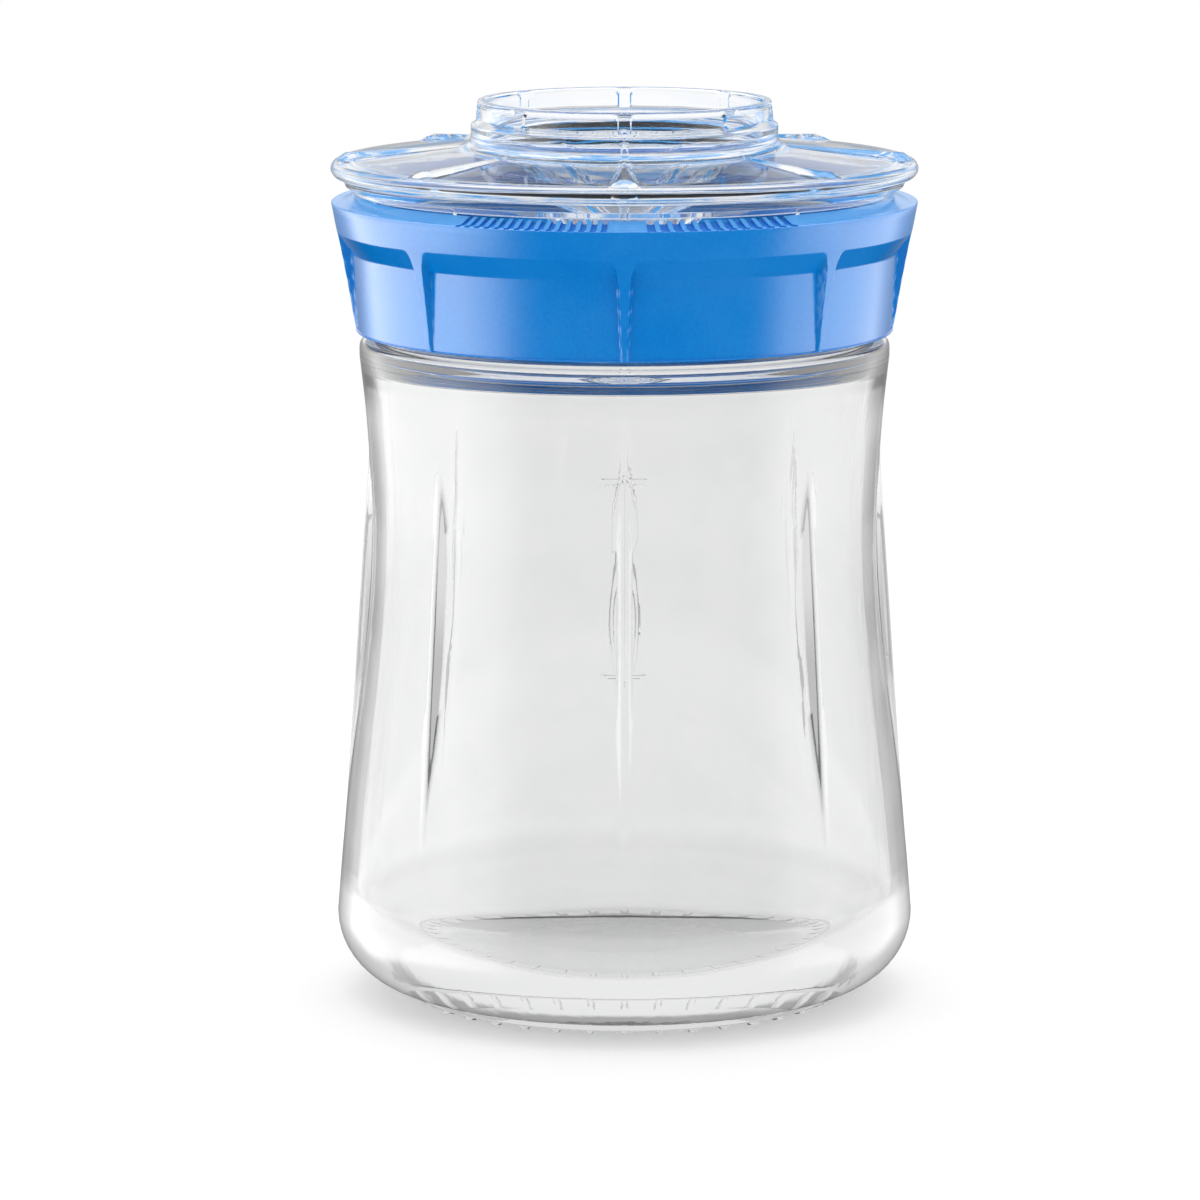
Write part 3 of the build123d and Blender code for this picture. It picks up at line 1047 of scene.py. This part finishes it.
@dataclass
class PlugSeal:
    """Bevelled silicone band in the groove of the cover's plug. Sizes in mm."""

    material: bpy.types.Material
    bore_radius: float = 48.36
    outer_radius: float = 49.34
    middle: float = 146.85
    height: float = 1.6
    bevel: float = 0.4

    def build(self) -> bpy.types.Object:
        """Turns the section, a band with bevelled outer corners.

        Returns:
            The seal.
        """
        low, high = self.middle - self.height / 2, self.middle + self.height / 2
        corners = [
            Corner(self.bore_radius, low, 0.1, 2),
            Corner(self.outer_radius - self.bevel, low, 0.12, 2),
            Corner(self.outer_radius, low + self.bevel, 0.15, 3),
            Corner(self.outer_radius, high - self.bevel, 0.15, 3),
            Corner(self.outer_radius - self.bevel, high, 0.12, 2),
            Corner(self.bore_radius, high, 0.1, 2),
        ]
        piece = turned_ring("cover_seal_ring", corners, 0.8, 260)
        finish_piece(piece, self.material, Body.SEAL, "cover_seal")
        return piece


@dataclass(frozen=True)
class SlotGroup:
    """Row of radial strainer slots to one side of the front. Angles in degrees."""

    hand: Hand
    count: int
    width: float
    first: float
    pitch: float

    def centres(self) -> np.ndarray:
        """Angle of each slot, in radians."""
        turns = self.first + self.pitch * np.arange(self.count)
        return FRONT + self.hand.value * np.radians(turns)


@dataclass
class LidRing:
    """Azure screw ring: buttress ribs, sunk panels, funnel mouth, strainer slots. Sizes in mm."""

    material: bpy.types.Material
    thread: Thread
    foot_height: float = 126.9
    panel_top: float = 141.85
    band_base: float = 145.75
    land: float = 151.3
    top: float = 152.65
    rim_radius: float = 54.6
    land_radius: float = 53.1
    panel_radii: Pair = (50.1, 51.3)
    bore_radius: float = 48.0
    flange_bore_radius: float = 41.6
    flange_base: float = 141.05
    flange_top: float = 143.25
    cup_radius: float = 49.4
    funnel_base: float = 149.45
    funnel_radius: float = 50.2
    funnel_row_step: float = 1.3
    crests: tuple[Pair, ...] = (
        (50.5, 126.9), (50.85, 128.6), (51.5, 132.4), (52.15, 136.2), (52.85, 139.9),
        (53.55, 143.6), (54.35, 147.4), (54.75, 149.6), (55.0, 150.9),
    )
    rib_count: int = 8
    rib_widths: Pair = (1.0, 2.4)
    rib_soft: Pair = (0.15, 0.45)
    flare_width: float = 5.8
    flare_height: float = 4.4
    flare_power: float = 2.4
    slot_floor: float = 151.05
    slot_rise: float = 0.3
    slot_span: float = 36.0
    slots: tuple[SlotGroup, ...] = (
        SlotGroup(Hand.LEFT, 15, 1.05, 3.9, 2.1),
        SlotGroup(Hand.RIGHT, 12, 1.5, 5.2, 2.62),
    )

    def section(self) -> tuple[np.ndarray, int]:
        """Closed section of the ring without panels, and how many of its points lie outside.

        Rows stand closest together at the panels' top and at the band's base.

        Returns:
            Points, the material on the left, and the number of points up to the rim.
        """
        foot_radius, widest = self.crests[0][0], self.crests[-1]
        edges = [edge + side for edge in (self.panel_top, self.band_base) for side in (-0.3, 0.3)]
        marks = [self.foot_height + 0.35, *edges, widest[1]]
        outer = risen(self.crests, levels(marks, [16, 4, 9, 5, 5]))
        rim = upright_arc(widest, (self.rim_radius, self.land), 6)
        inner = filleted(
            Corner(self.rim_radius, self.land),
            Corner(self.land_radius, self.land, 0.12, 2),
            Corner(self.funnel_radius, self.top, 0.25, 3),
            Corner(self.cup_radius, self.funnel_base, 0.8),
            Corner(self.cup_radius, self.flange_top, 0.5),
            Corner(self.flange_bore_radius, self.flange_top, 0.5),
            Corner(self.flange_bore_radius, self.flange_base, 0.4),
            Corner(self.bore_radius, self.flange_base, 0.3),
            Corner(self.bore_radius, self.foot_height, 0.4),
            Corner(foot_radius, self.foot_height, 0.4),
            Corner(foot_radius + 0.02, self.foot_height + 0.35),
        )
        bore = np.abs(inner[:, 0] - self.bore_radius) < 0.01
        high, low = np.flatnonzero(bore & (inner[:, 1] > self.foot_height + 0.3))[[0, -1]]
        step = self.thread.row_step
        descent = np.arange(inner[high, 1] - step, inner[low, 1] + 0.2, -step)
        screw = np.column_stack((np.full(len(descent), self.bore_radius), descent))
        funnel = divided(inner[: high + 1], self.funnel_row_step)
        return np.vstack((outer, rim[1:], funnel[1:], screw, inner[low:-1])), len(outer)

    def panel(self, level: np.ndarray) -> np.ndarray:
        """Radius of the sunk panels: a cone, then the straight shelf out to the band.

        Args:
            level: Heights.

        Returns:
            The larger of the two radii at each height.
        """
        band_radius = risen(self.crests, np.array([self.band_base]))[0, 0]
        share = (level - self.foot_height) / (self.panel_top - self.foot_height)
        shelf = (level - self.panel_top) / (self.band_base - self.panel_top)
        shelf = between(self.panel_radii[1], band_radius, shelf)
        return np.maximum(between(*self.panel_radii, share), shelf)

    def rib_half_width(self, level: np.ndarray) -> np.ndarray:
        """Half the width of a rib: it widens evenly, then flares as a power of the height.

        Args:
            level: Heights.

        Returns:
            Half the width at each height.
        """
        share = (level - self.foot_height) / (self.panel_top - self.foot_height)
        straight = between(*self.rib_widths, np.clip(share, 0.0, 1.0))
        share = (level - self.band_base + self.flare_height) / self.flare_height
        flare = np.clip(share, 0.0, 1.0) ** self.flare_power
        return (straight + (self.flare_width - self.rib_widths[1]) * flare) / 2

    def columns(self) -> np.ndarray:
        """Angles of the grid: even, with close groups at the ribs' sides and the slots' edges.

        Returns:
            Rising angles. No even ones stand among the slots.
        """
        sides = np.concatenate((np.arange(0.0, 1.95, 0.16), [2.2, 2.55, 2.9, 3.3, 3.8, 4.6, 6.0]))
        groups = [around(evenly(self.rib_count), both_ways(sides))]
        for group in self.slots:
            half = math.degrees(group.width / 2 / self.rim_radius)
            edges = both_ways([0.0, half - 0.03, half + 0.03, half + 0.16])
            groups.append(around(group.centres(), edges))
        every = evenly(120, 0.0)
        away = np.abs(turn_from(every, FRONT)) >= math.radians(self.slot_span)
        return merged_angles([*groups, every[away]], 0.0003)

    def build(self) -> bpy.types.Object:
        """Builds the ring.

        Outside, the radius runs from the panel to the crests by each rib's mask, which is 1
        within the rib's half width. In a slot, heights above the slot's floor come down to
        it; the floor is level under the land and rises inwards at the rate slot_rise.

        Returns:
            The ring.
        """
        angles = self.columns()
        outline, outer = self.section()
        radius, height = swept(outline, angles)
        level, crest = height[:outer], radius[:outer]
        across = crest * np.sin(nearest_turn(angles, self.rib_count, FRONT)[None])
        rib = plateau(across, self.rib_half_width(level), self.rib_soft)
        sunk = between(np.minimum(self.panel(level), crest), crest, rib)
        radius[:outer] = np.where(level < self.band_base, sunk, crest)

        bore = np.abs(outline[:, 0] - self.bore_radius) < 0.01
        bore = bore & (outline[:, 1] < self.flange_base)
        screw = self.thread.share(angles[None], height[bore], self.thread.pitch / 2)
        radius[bore] -= self.thread.reach * screw

        inwards = np.maximum(self.land_radius - outline[:, 0], 0.0)
        floor = self.slot_floor + self.slot_rise * inwards
        rim = outline[:, 1] > floor
        for group in self.slots:
            for centre in group.centres():
                beside = np.abs(turn_from(angles, centre)) * self.rim_radius
                height[np.ix_(rim, beside < group.width / 2)] = floor[rim, None]

        piece = turned_mesh("lid_screw_ring", radius, height, angles, True, crease=32.0)
        finish_piece(piece, self.material, Body.LID, "lid_ring")
        return piece


@dataclass
class ClearCover:
    """Clear turning cover: bead, ridged plate, knob ring, fluted cone, plug. Sizes in mm."""

    material: bpy.types.Material
    foot: float = 152.9
    bead_height: float = 157.4
    bead_circle: float = 53.58
    bead_radius: float = 1.5
    bead_steps: int = 18
    skirt_top_radius: float = 53.0
    skirt_foot_radius: float = 52.3
    skirt_foot: float = 154.15
    collar_radius: float = 50.9
    ledge_radius: float = 50.0
    skirt_bore_radius: float = 50.5
    collar_bore_radius: float = 49.1
    plug_radius: float = 49.2
    plug_bore_radius: float = 47.4
    plug_foot: float = 145.05
    plug_top: float = 149.25
    groove_heights: Pair = (146.0, 147.7)
    groove_radius: float = 48.3
    plate_top: float = 161.2
    plate_under: float = 159.4
    plate_edge_under: float = 157.1
    plate_inner_radius: float = 31.4
    plate_bend_radius: float = 28.0
    knob_radius: float = 28.8
    knob_band_radius: float = 27.9
    knob_top_radius: float = 27.5
    knob_bore_radius: float = 26.0
    knob_top: float = 170.1
    knob_tier_top: float = 165.5
    knob_flare: float = 2.6
    panel_heights: Pair = (166.1, 169.5)
    panel_recess: float = 0.6
    pillar_widths: Pair = (2.3, 4.2)
    pillar_soft: Pair = (0.1, 0.25)
    pillar_flare: float = 1.1
    rib_count: int = 8
    ridge_width: float = 5.8
    ridge_height: float = 1.2
    ridge_end_share: float = 0.18
    ridge_start: Pair = (29.4, 31.4)
    ridge_end: Pair = (52.88, 54.08)
    flute_count: int = 12
    flute_width: float = 1.4
    flute_height: float = 1.3
    flute_start: Pair = (0.5, 4.5)
    flute_end: Pair = (22.0, 24.5)
    window_turn: float = 79.0
    window_base: float = 149.6
    window_rows: int = 5
    cone_outline: tuple[Pair, ...] = (
        (0.0, 137.2), (5.2, 139.6), (12.5, 148.0), (20.8, 158.3), (26.0, 161.2),
    )
    cone_wall: float = 1.6
    cone_edge: float = 24.6
    cone_top: float = 22.5
    pole_radius: float = 0.6

    def cone(self, radii: float | np.ndarray) -> float | np.ndarray:
        """Height of the cone's upper skin at each radius, a curve through its outline."""
        return hermite(*np.array(self.cone_outline).T, radii)

    def sill(self, low: float, high: float) -> Pair:
        """Lower edge of the window in a wall that leans from low on the plug to high above."""
        share = (self.window_base - self.plug_top) / (self.foot - self.plug_top)
        return (between(low, high, share), self.window_base)

    def underside(self) -> np.ndarray:
        """Underside from the cone's edge over the plate and down to the collar's foot.

        Returns:
            Points, one row each.
        """
        run = filleted(
            Corner(self.cone_edge, self.cone(self.cone_edge) - self.cone_wall),
            Corner(self.plate_bend_radius, self.plate_under + 0.2, 1.5),
            Corner(self.plate_inner_radius, self.plate_under, 1.0),
            Corner(self.skirt_bore_radius, self.plate_edge_under, 0.6, 4),
            Corner(self.skirt_bore_radius, self.bead_height - self.bead_radius, 0.3, 3),
            Corner(self.collar_bore_radius, self.skirt_foot, 0.5, 4),
            Corner(self.collar_bore_radius, self.foot),
        )
        return divided(run, 2.6)

    def plug(self, inner: Pair, outer: Pair) -> np.ndarray:
        """Plug below the window, with the seal's groove.

        Args:
            inner: The window's lower edge inside.
            outer: The window's lower edge outside.

        Returns:
            Points, one row each.
        """
        low, high = self.groove_heights
        run = filleted(
            Corner(*inner),
            Corner(self.plug_bore_radius, self.plug_top, 0.6),
            Corner(self.plug_bore_radius, self.plug_foot, 0.5),
            Corner(self.plug_radius, self.plug_foot, 0.3, 3),
            Corner(self.plug_radius, low, 0.08, 2),
            Corner(self.groove_radius, low, 0.08, 2),
            Corner(self.groove_radius, high, 0.08, 2),
            Corner(self.plug_radius, high, 0.08, 2),
            Corner(self.plug_radius, self.plug_top, 0.4),
            Corner(*outer),
        )
        return divided(run, 1.2)

    def skirt(self) -> np.ndarray:
        """Outside from the ledge round the collar and up the skirt to the bead.

        Returns:
            Points, one row each.
        """
        bead_foot = self.bead_height - self.bead_radius
        return filleted(
            Corner(self.ledge_radius, self.foot),
            Corner(self.collar_radius, self.foot, 0.3, 3),
            Corner(self.collar_radius, self.skirt_foot, 0.25, 3),
            Corner(self.skirt_foot_radius, self.skirt_foot, 0.25, 4),
            Corner(self.skirt_top_radius, bead_foot, 0.15, 2),
            Corner(self.bead_circle, bead_foot),
        )

    def knob(self, start: Pair) -> np.ndarray:
        """Knob ring from the top of its flare, over its rim and down to the cone.

        Args:
            start: Top of the flare.

        Returns:
            Points, one row each.
        """
        run = filleted(
            Corner(*start),
            Corner(self.knob_radius, self.knob_tier_top, 0.15, 2),
            Corner(self.knob_band_radius, self.panel_heights[0], 0.12, 2),
            Corner(self.knob_top_radius, self.knob_top, 0.45, 5),
            Corner(self.knob_bore_radius, self.knob_top, 0.45, 5),
            Corner(self.knob_bore_radius, self.plate_top + 0.4, 1.2, 5),
            Corner(self.cone_top, self.cone(self.cone_top)),
        )
        return divided(run, 0.42)

    def section(self) -> dict[str, np.ndarray]:
        """Runs of the open section from the underside of the cone's tip to its upper side.

        Returns:
            Points of each run by name, in order, the material on the left.
        """
        low_radii = np.concatenate(([self.pole_radius], np.linspace(1.5, self.cone_edge, 17)))
        high_radii = np.concatenate((np.linspace(21.4, 1.5, 15), [self.pole_radius]))
        inner_top, outer_top = (self.collar_bore_radius, self.foot), (self.ledge_radius, self.foot)
        inner_base = self.sill(self.plug_bore_radius, self.collar_bore_radius)
        outer_base = self.sill(self.plug_radius, self.ledge_radius)
        turn = np.linspace(-math.pi / 2, math.pi / 2, self.bead_steps + 1)
        bead = np.column_stack((np.cos(turn), np.sin(turn))) * self.bead_radius
        plate_edge = (self.bead_circle, self.bead_height + self.bead_radius)
        plate_end = (self.plate_inner_radius, self.plate_top)
        flare_top = (self.knob_radius, self.plate_top + self.knob_flare)
        return {
            "low_cone": np.column_stack((low_radii, self.cone(low_radii) - self.cone_wall)),
            "underside": self.underside()[1:-1],
            "inner_window": np.linspace(inner_top, inner_base, self.window_rows),
            "plug": self.plug(inner_base, outer_base)[1:-1],
            "outer_window": np.linspace(outer_base, outer_top, self.window_rows),
            "skirt": self.skirt()[1:-1],
            "bead": bead[:-1] + (self.bead_circle, self.bead_height),
            "plate": divided(np.array([plate_edge, plate_end]), 1.35)[:-1],
            "flare": upright_arc(flare_top, plate_end, 7)[:0:-1],
            "knob": self.knob(flare_top),
            "high_cone": np.column_stack((high_radii, self.cone(high_radii))),
        }

    def columns(self) -> np.ndarray:
        """Angles of the grid: about every degree, closest at ridges, pillars and the window.

        Returns:
            Rising angles.
        """
        half = self.window_turn / 2
        close = around(evenly(self.rib_count), both_ways([0.5, 2.2, 2.45, 2.75, 5.4]))
        window = around(np.array([FRONT]), both_ways([half]))
        every = evenly(336, FRONT)
        from_edge = np.abs(np.abs(turn_from(every, FRONT)) - math.radians(half))
        even = every[from_edge > math.radians(0.3)]
        return merged_angles([close, window, even], math.radians(0.12))

    def arches(self, reach: np.ndarray, turn: np.ndarray) -> np.ndarray:
        """Height of the ridges over the plate: height * (1 - (t / half)^2)^0.75.

        Their width and height grow outwards, and they fade at both ends.

        Args:
            reach: Radii, rows by columns.
            turn: Turn from the nearest ridge at each column.

        Returns:
            Heights to add, rows by columns.
        """
        share = (reach - self.plate_inner_radius) / (self.bead_circle - self.plate_inner_radius)
        size = between(self.ridge_end_share, 1.0, np.clip(share, 0.0, 1.0))
        across = np.abs(reach * np.sin(turn)) / (self.ridge_width / 2 * size)
        arch = self.ridge_height * size * np.clip(1 - across**2, 0.0, 1.0) ** 0.75
        fade = 1 - smooth_step(*self.ridge_end, reach)
        return arch * fade * smooth_step(*self.ridge_start, reach)

    def recesses(self, reach: np.ndarray, level: np.ndarray, turn: np.ndarray) -> np.ndarray:
        """Depth of the knob's panels, which stand between flared pillars.

        Args:
            reach: Radii, rows by columns.
            level: Heights, rows by columns.
            turn: Turn from the nearest pillar at each column.

        Returns:
            Depths to take off the radius, rows by columns.
        """
        low, high = self.panel_heights
        narrow, wide = self.pillar_widths
        flare = np.clip((level - high + self.pillar_flare) / self.pillar_flare, 0.0, 1.0)
        half = (narrow + (wide - narrow) * flare**2) / 2
        pillar = plateau(reach * np.sin(turn), half, self.pillar_soft)
        outer = (reach > self.knob_top_radius - 0.3) & (reach < self.knob_band_radius + 0.1)
        panel = smooth_step(low, low + 0.3, level) * (1 - smooth_step(high - 0.35, high, level))
        return self.panel_recess * (1 - pillar) * panel * outer

    def flutes(self, reach: np.ndarray, angles: np.ndarray) -> np.ndarray:
        """Height of the flutes under the cone, each a bar as tall as sqrt(1 - (t / half)^4).

        Args:
            reach: Radii, rows by columns.
            angles: Angle of each column.

        Returns:
            Heights to take off, rows by columns.
        """
        turn = nearest_turn(angles, self.flute_count, FRONT)[None]
        across = np.abs(reach * np.sin(turn)) / (self.flute_width / 2)
        bar = self.flute_height * np.sqrt(np.clip(1 - across**4, 0.0, 1.0))
        fade = 1 - smooth_step(*self.flute_end, reach)
        return bar * smooth_step(*self.flute_start, reach) * fade

    def window(
        self, shape: tuple[int, int], angles: np.ndarray, inner: slice, outer: slice
    ) -> tuple[np.ndarray, list[tuple[np.ndarray, np.ndarray]]]:
        """Opens the window: hides its quads and bridges its inner and outer edges.

        Args:
            shape: Rows and columns of the grid.
            angles: Angle of each column.
            inner: Rows of the window's inner side, from its top down.
            outer: Rows of its outer side, from its base up.

        Returns:
            Mask of the hidden quads, and the pairs of edges to bridge.
        """
        half = math.radians(self.window_turn / 2) + 0.0005
        start, stop = np.flatnonzero(np.abs(turn_from(angles, FRONT)) < half)[[0, -1]]
        numbers = np.arange(shape[0] * shape[1]).reshape(shape)
        hidden = np.zeros(shape, bool)
        for side in (inner, outer):
            hidden[side.start : side.stop - 1, start:stop] = True
        inside, outside = (numbers[side, start : stop + 1] for side in (inner, outer))
        bridges = [
            (inside[0], outside[-1]),
            (outside[0], inside[-1]),
            (outside[::-1, 0], inside[:, 0]),
            (inside[:, -1], outside[::-1, -1]),
        ]
        return hidden, bridges

    def build(self) -> bpy.types.Object:
        """Builds the cover: the turned section, with ridges, panels, flutes and the window.

        Returns:
            The cover.
        """
        angles = self.columns()
        runs = self.section()
        marks = np.cumsum([0] + [len(run) for run in runs.values()]).tolist()
        rows = {name: slice(*span) for name, *span in zip(runs, marks[:-1], marks[1:])}
        radius, height = swept(np.vstack(list(runs.values())), angles)
        turn = nearest_turn(angles, self.rib_count, FRONT)[None]

        plate = slice(rows["bead"].start + self.bead_steps // 2, rows["flare"].stop)
        knob = slice(rows["flare"].start, rows["knob"].stop)
        cone = rows["low_cone"]
        height[plate] += self.arches(radius[plate], turn)
        radius[knob] -= self.recesses(radius[knob], height[knob], turn)
        height[cone] -= self.flutes(radius[cone], angles)

        edges = (rows["inner_window"], rows["outer_window"])
        opening = self.window(radius.shape, angles, *edges)
        grid = (radius, height, angles)
        piece = turned_mesh("clear_turning_cover", *grid, False, (True, True), *opening, 38.0)
        finish_piece(piece, self.material, Body.COVER, "cover")
        return piece


@dataclass(frozen=True)
class Softbox:
    """Rectangular lamp that faces the upright axis. Sizes in metres, power in watts."""

    place: tuple[float, float, float]
    size: Pair
    watts: float
    aim_height: float = 0.1


@dataclass
class Studio:
    """Pale floor, white surroundings, soft lamps and the photograph's camera. Sizes in metres.

    The lights are strengths of the surroundings: matt on matt skins, backdrop through clear
    walls, flank and low from the sides, overhead from above, the last three on shiny skins.
    """

    distance: float = 1.1953
    pitch: float = 9.6
    aim_height: float = 0.075
    lens: float = 189.0
    sensor: float = 36.0
    shift: float = -24.5 / 1200
    floor_radius: float = 0.9
    floor_rings: tuple[float, ...] = (0.55, 0.35, 0.2, 0.12, 0.06, 0.02)
    floor_greys: Pair = (0.86, 0.88)
    matt_light: float = 0.98
    backdrop_light: float = 1.07
    flank_light: float = 1.9
    low_light: float = 0.6
    overhead_light: float = 1.6
    lamps: dict[str, Softbox] = field(
        default_factory=lambda: {
            "left_fill": Softbox((-0.95, -0.35, 0.35), (0.7, 1.0), 0.6),
            "right_fill": Softbox((0.95, -0.15, 0.35), (0.7, 1.0), 0.6),
            "overhead_fill": Softbox((0.0, 0.1, 1.2), (1.0, 1.0), 7.0),
        }
    )

    def camera(self) -> None:
        """Sets the camera on the photograph's line of sight, aimed at the jar's waist."""
        data = bpy.data.cameras.new("photo_camera")
        data.lens = self.lens
        data.sensor_width = self.sensor
        data.shift_x = self.shift
        data.clip_end = 50.0
        camera = bpy.data.objects.new("photo_camera", data)
        turn = math.radians(self.pitch)
        back, rise = self.distance * math.cos(turn), self.distance * math.sin(turn)
        camera.location = (0.0, -back, self.aim_height + rise)
        camera.rotation_euler = (math.pi / 2 - turn, 0.0, 0.0)
        bpy.context.scene.collection.objects.link(camera)
        bpy.context.scene.camera = camera

    def floor(self) -> None:
        """Lays a pale disc that fades into the white surroundings at its rim."""
        angles = evenly(96, 0.0)
        reach = np.array([self.floor_radius, *self.floor_rings]) / MM
        radius, height = swept(np.column_stack((reach, np.zeros(len(reach)))), angles)
        floor = turned_mesh("pale_floor", radius, height, angles, poles=(False, True))
        material, g = new_material("pale_floor")
        place = g.place()
        far = g.node("ShaderNodeVectorMath", {"operation": "LENGTH"}, {0: place}, "Value")
        grain = g.noise(place, 60.0, 3.0)
        paper = g.skin(
            {
                "Base Color": g.mix(grain, *(grey(level) for level in self.floor_greys)),
                "Roughness": grain.step(0.0, 1.0, 0.55, 0.65),
                "Specular IOR Level": 0.2,
            }
        )
        share = far.step(0.03, 0.08, 0.1, 0.45)
        share = share + far.step(0.12, self.floor_radius * 0.6, 0.0, 0.55)
        g.finish(g.blend(share, paper, g.clear()))
        floor.data.materials.append(material)
        floor.visible_glossy = False
        floor.visible_transmission = False

    def mirrored(self, x: Signal, y: Signal, z: Signal) -> Signal:
        """Room that shiny skins mirror: two side lights, a dark front and floor, a light above.

        Behind is the cosine of the azimuth from the back wall, 1 behind the jar and -1 on the
        camera's side. Flank holds the side lights, which are weaker on the right. Near darkens
        the camera's side except high up, veil the back just above the jar, skimmed the level
        back that the walls' edges mirror, and under the floor.

        Args:
            x: Direction to the right.
            y: Direction to the back.
            z: Direction upwards.

        Returns:
            Strength of the light.
        """
        across = (x * x + y * y).larger(0.0001) ** 0.5
        behind, right = y / across, (x / across).step(-0.2, 0.2)
        turned = behind - 0.25 * right
        flank = turned.step(-0.85, -0.15) * behind.step(0.68, 0.9, 1.0, 0.0) * z.step(-0.54, -0.4)
        low = z.step(-0.22, -0.12, 1.0, 0.0)
        near = turned.step(-0.85, -0.5, 1.0, 0.0) * z.step(0.5, 0.8, 1.0, 0.0)
        veil = behind.step(0.8, 0.95) * z.step(0.2, 0.3) * z.step(0.5, 0.6, 1.0, 0.0)
        skimmed = behind.step(0.86, 0.97) * z.step(-0.42, -0.3) * z.step(0.02, 0.12, 1.0, 0.0)
        under = (z - 0.3 * behind.step(0.55, 0.9)).step(-0.72, -0.3)
        sides = flank * (self.flank_light + self.low_light * low) * (1.0 - 0.45 * right)
        room = (1.0 - near) * (1.0 + sides) * under * (1.0 - 0.6 * veil) * (1.0 - 0.55 * skimmed)
        return room + self.overhead_light * z.step(0.55, 0.8)

    def refracted(self, mirrors: Signal, z: Signal) -> Signal:
        """Backdrop that is seen through clear walls, darker above and a little below.

        A path that was mirrored inside a wall on its way, as at the wall's edges, meets
        darkness instead, but less of it in low directions.

        Args:
            mirrors: How often the path was mirrored.
            z: Direction upwards.

        Returns:
            Strength of the light.
        """
        dark = z.step(-0.2, -0.1, 0.62, 1.0) * z.step(-0.5, -0.34)
        light = self.backdrop_light - mirrors.step(0.4, 0.6) * dark
        return light * z.step(0.6, 0.75, 1.0, 0.2) * z.step(-0.45, -0.3, 0.9, 1.0)

    def surroundings(self) -> None:
        """Lights the room by direction and kind of path.

        It is white to the camera, a studio to clear and shiny skins, and plain to matt ones.
        """
        world = bpy.data.worlds.new("white_studio")
        world.use_nodes = True
        bpy.context.scene.world = world
        g = Graph(world.node_tree)
        camera, glossy, through, matt, mirrors = g.path(
            "Is Camera Ray",
            "Is Glossy Ray",
            "Is Transmission Ray",
            "Is Diffuse Ray",
            "Glossy Depth",
        )
        x, y, z = g.node("ShaderNodeTexCoord", {}, {}, "Generated").parts()
        shiny = (glossy - through).larger(0.0)
        level = camera + through * self.refracted(mirrors, z) + shiny * self.mirrored(x, y, z)
        inputs = {"Color": grey(1.0), "Strength": level + matt * self.matt_light}
        g.finish(g.node("ShaderNodeBackground", {}, inputs), "ShaderNodeOutputWorld")

    def lights(self) -> None:
        """Hangs the soft fills, which light matt skins and aren't mirrored."""
        for name, lamp in self.lamps.items():
            data = bpy.data.lights.new(name, "AREA")
            data.shape = "RECTANGLE"
            data.size, data.size_y = lamp.size
            data.energy = lamp.watts
            light = bpy.data.objects.new(name, data)
            light.location = lamp.place
            aim = Vector((0.0, 0.0, lamp.aim_height)) - Vector(lamp.place)
            light.rotation_euler = aim.to_track_quat("-Z", "Y").to_euler()
            light.visible_glossy = False
            light.visible_transmission = False
            bpy.context.scene.collection.objects.link(light)

    def build(self) -> None:
        """Builds the whole set."""
        self.camera()
        self.floor()
        self.surroundings()
        self.lights()
        bpy.context.scene.view_settings.view_transform = "Standard"


def main() -> None:
    """Builds the set, then every piece in order."""
    logging.basicConfig(level=logging.INFO, format="%(message)s")
    Studio().build()
    thread = Thread()
    silicone = SoftSilicone().material()
    GlassJar(PressedGlass().material(), thread).build()
    FlatGasket(silicone).build()
    LidRing(GrainedPlastic().material(), thread).build()
    PlugSeal(silicone).build()
    ClearCover(ClearMoulding().material()).build()


if __name__ == "__main__":
    main()
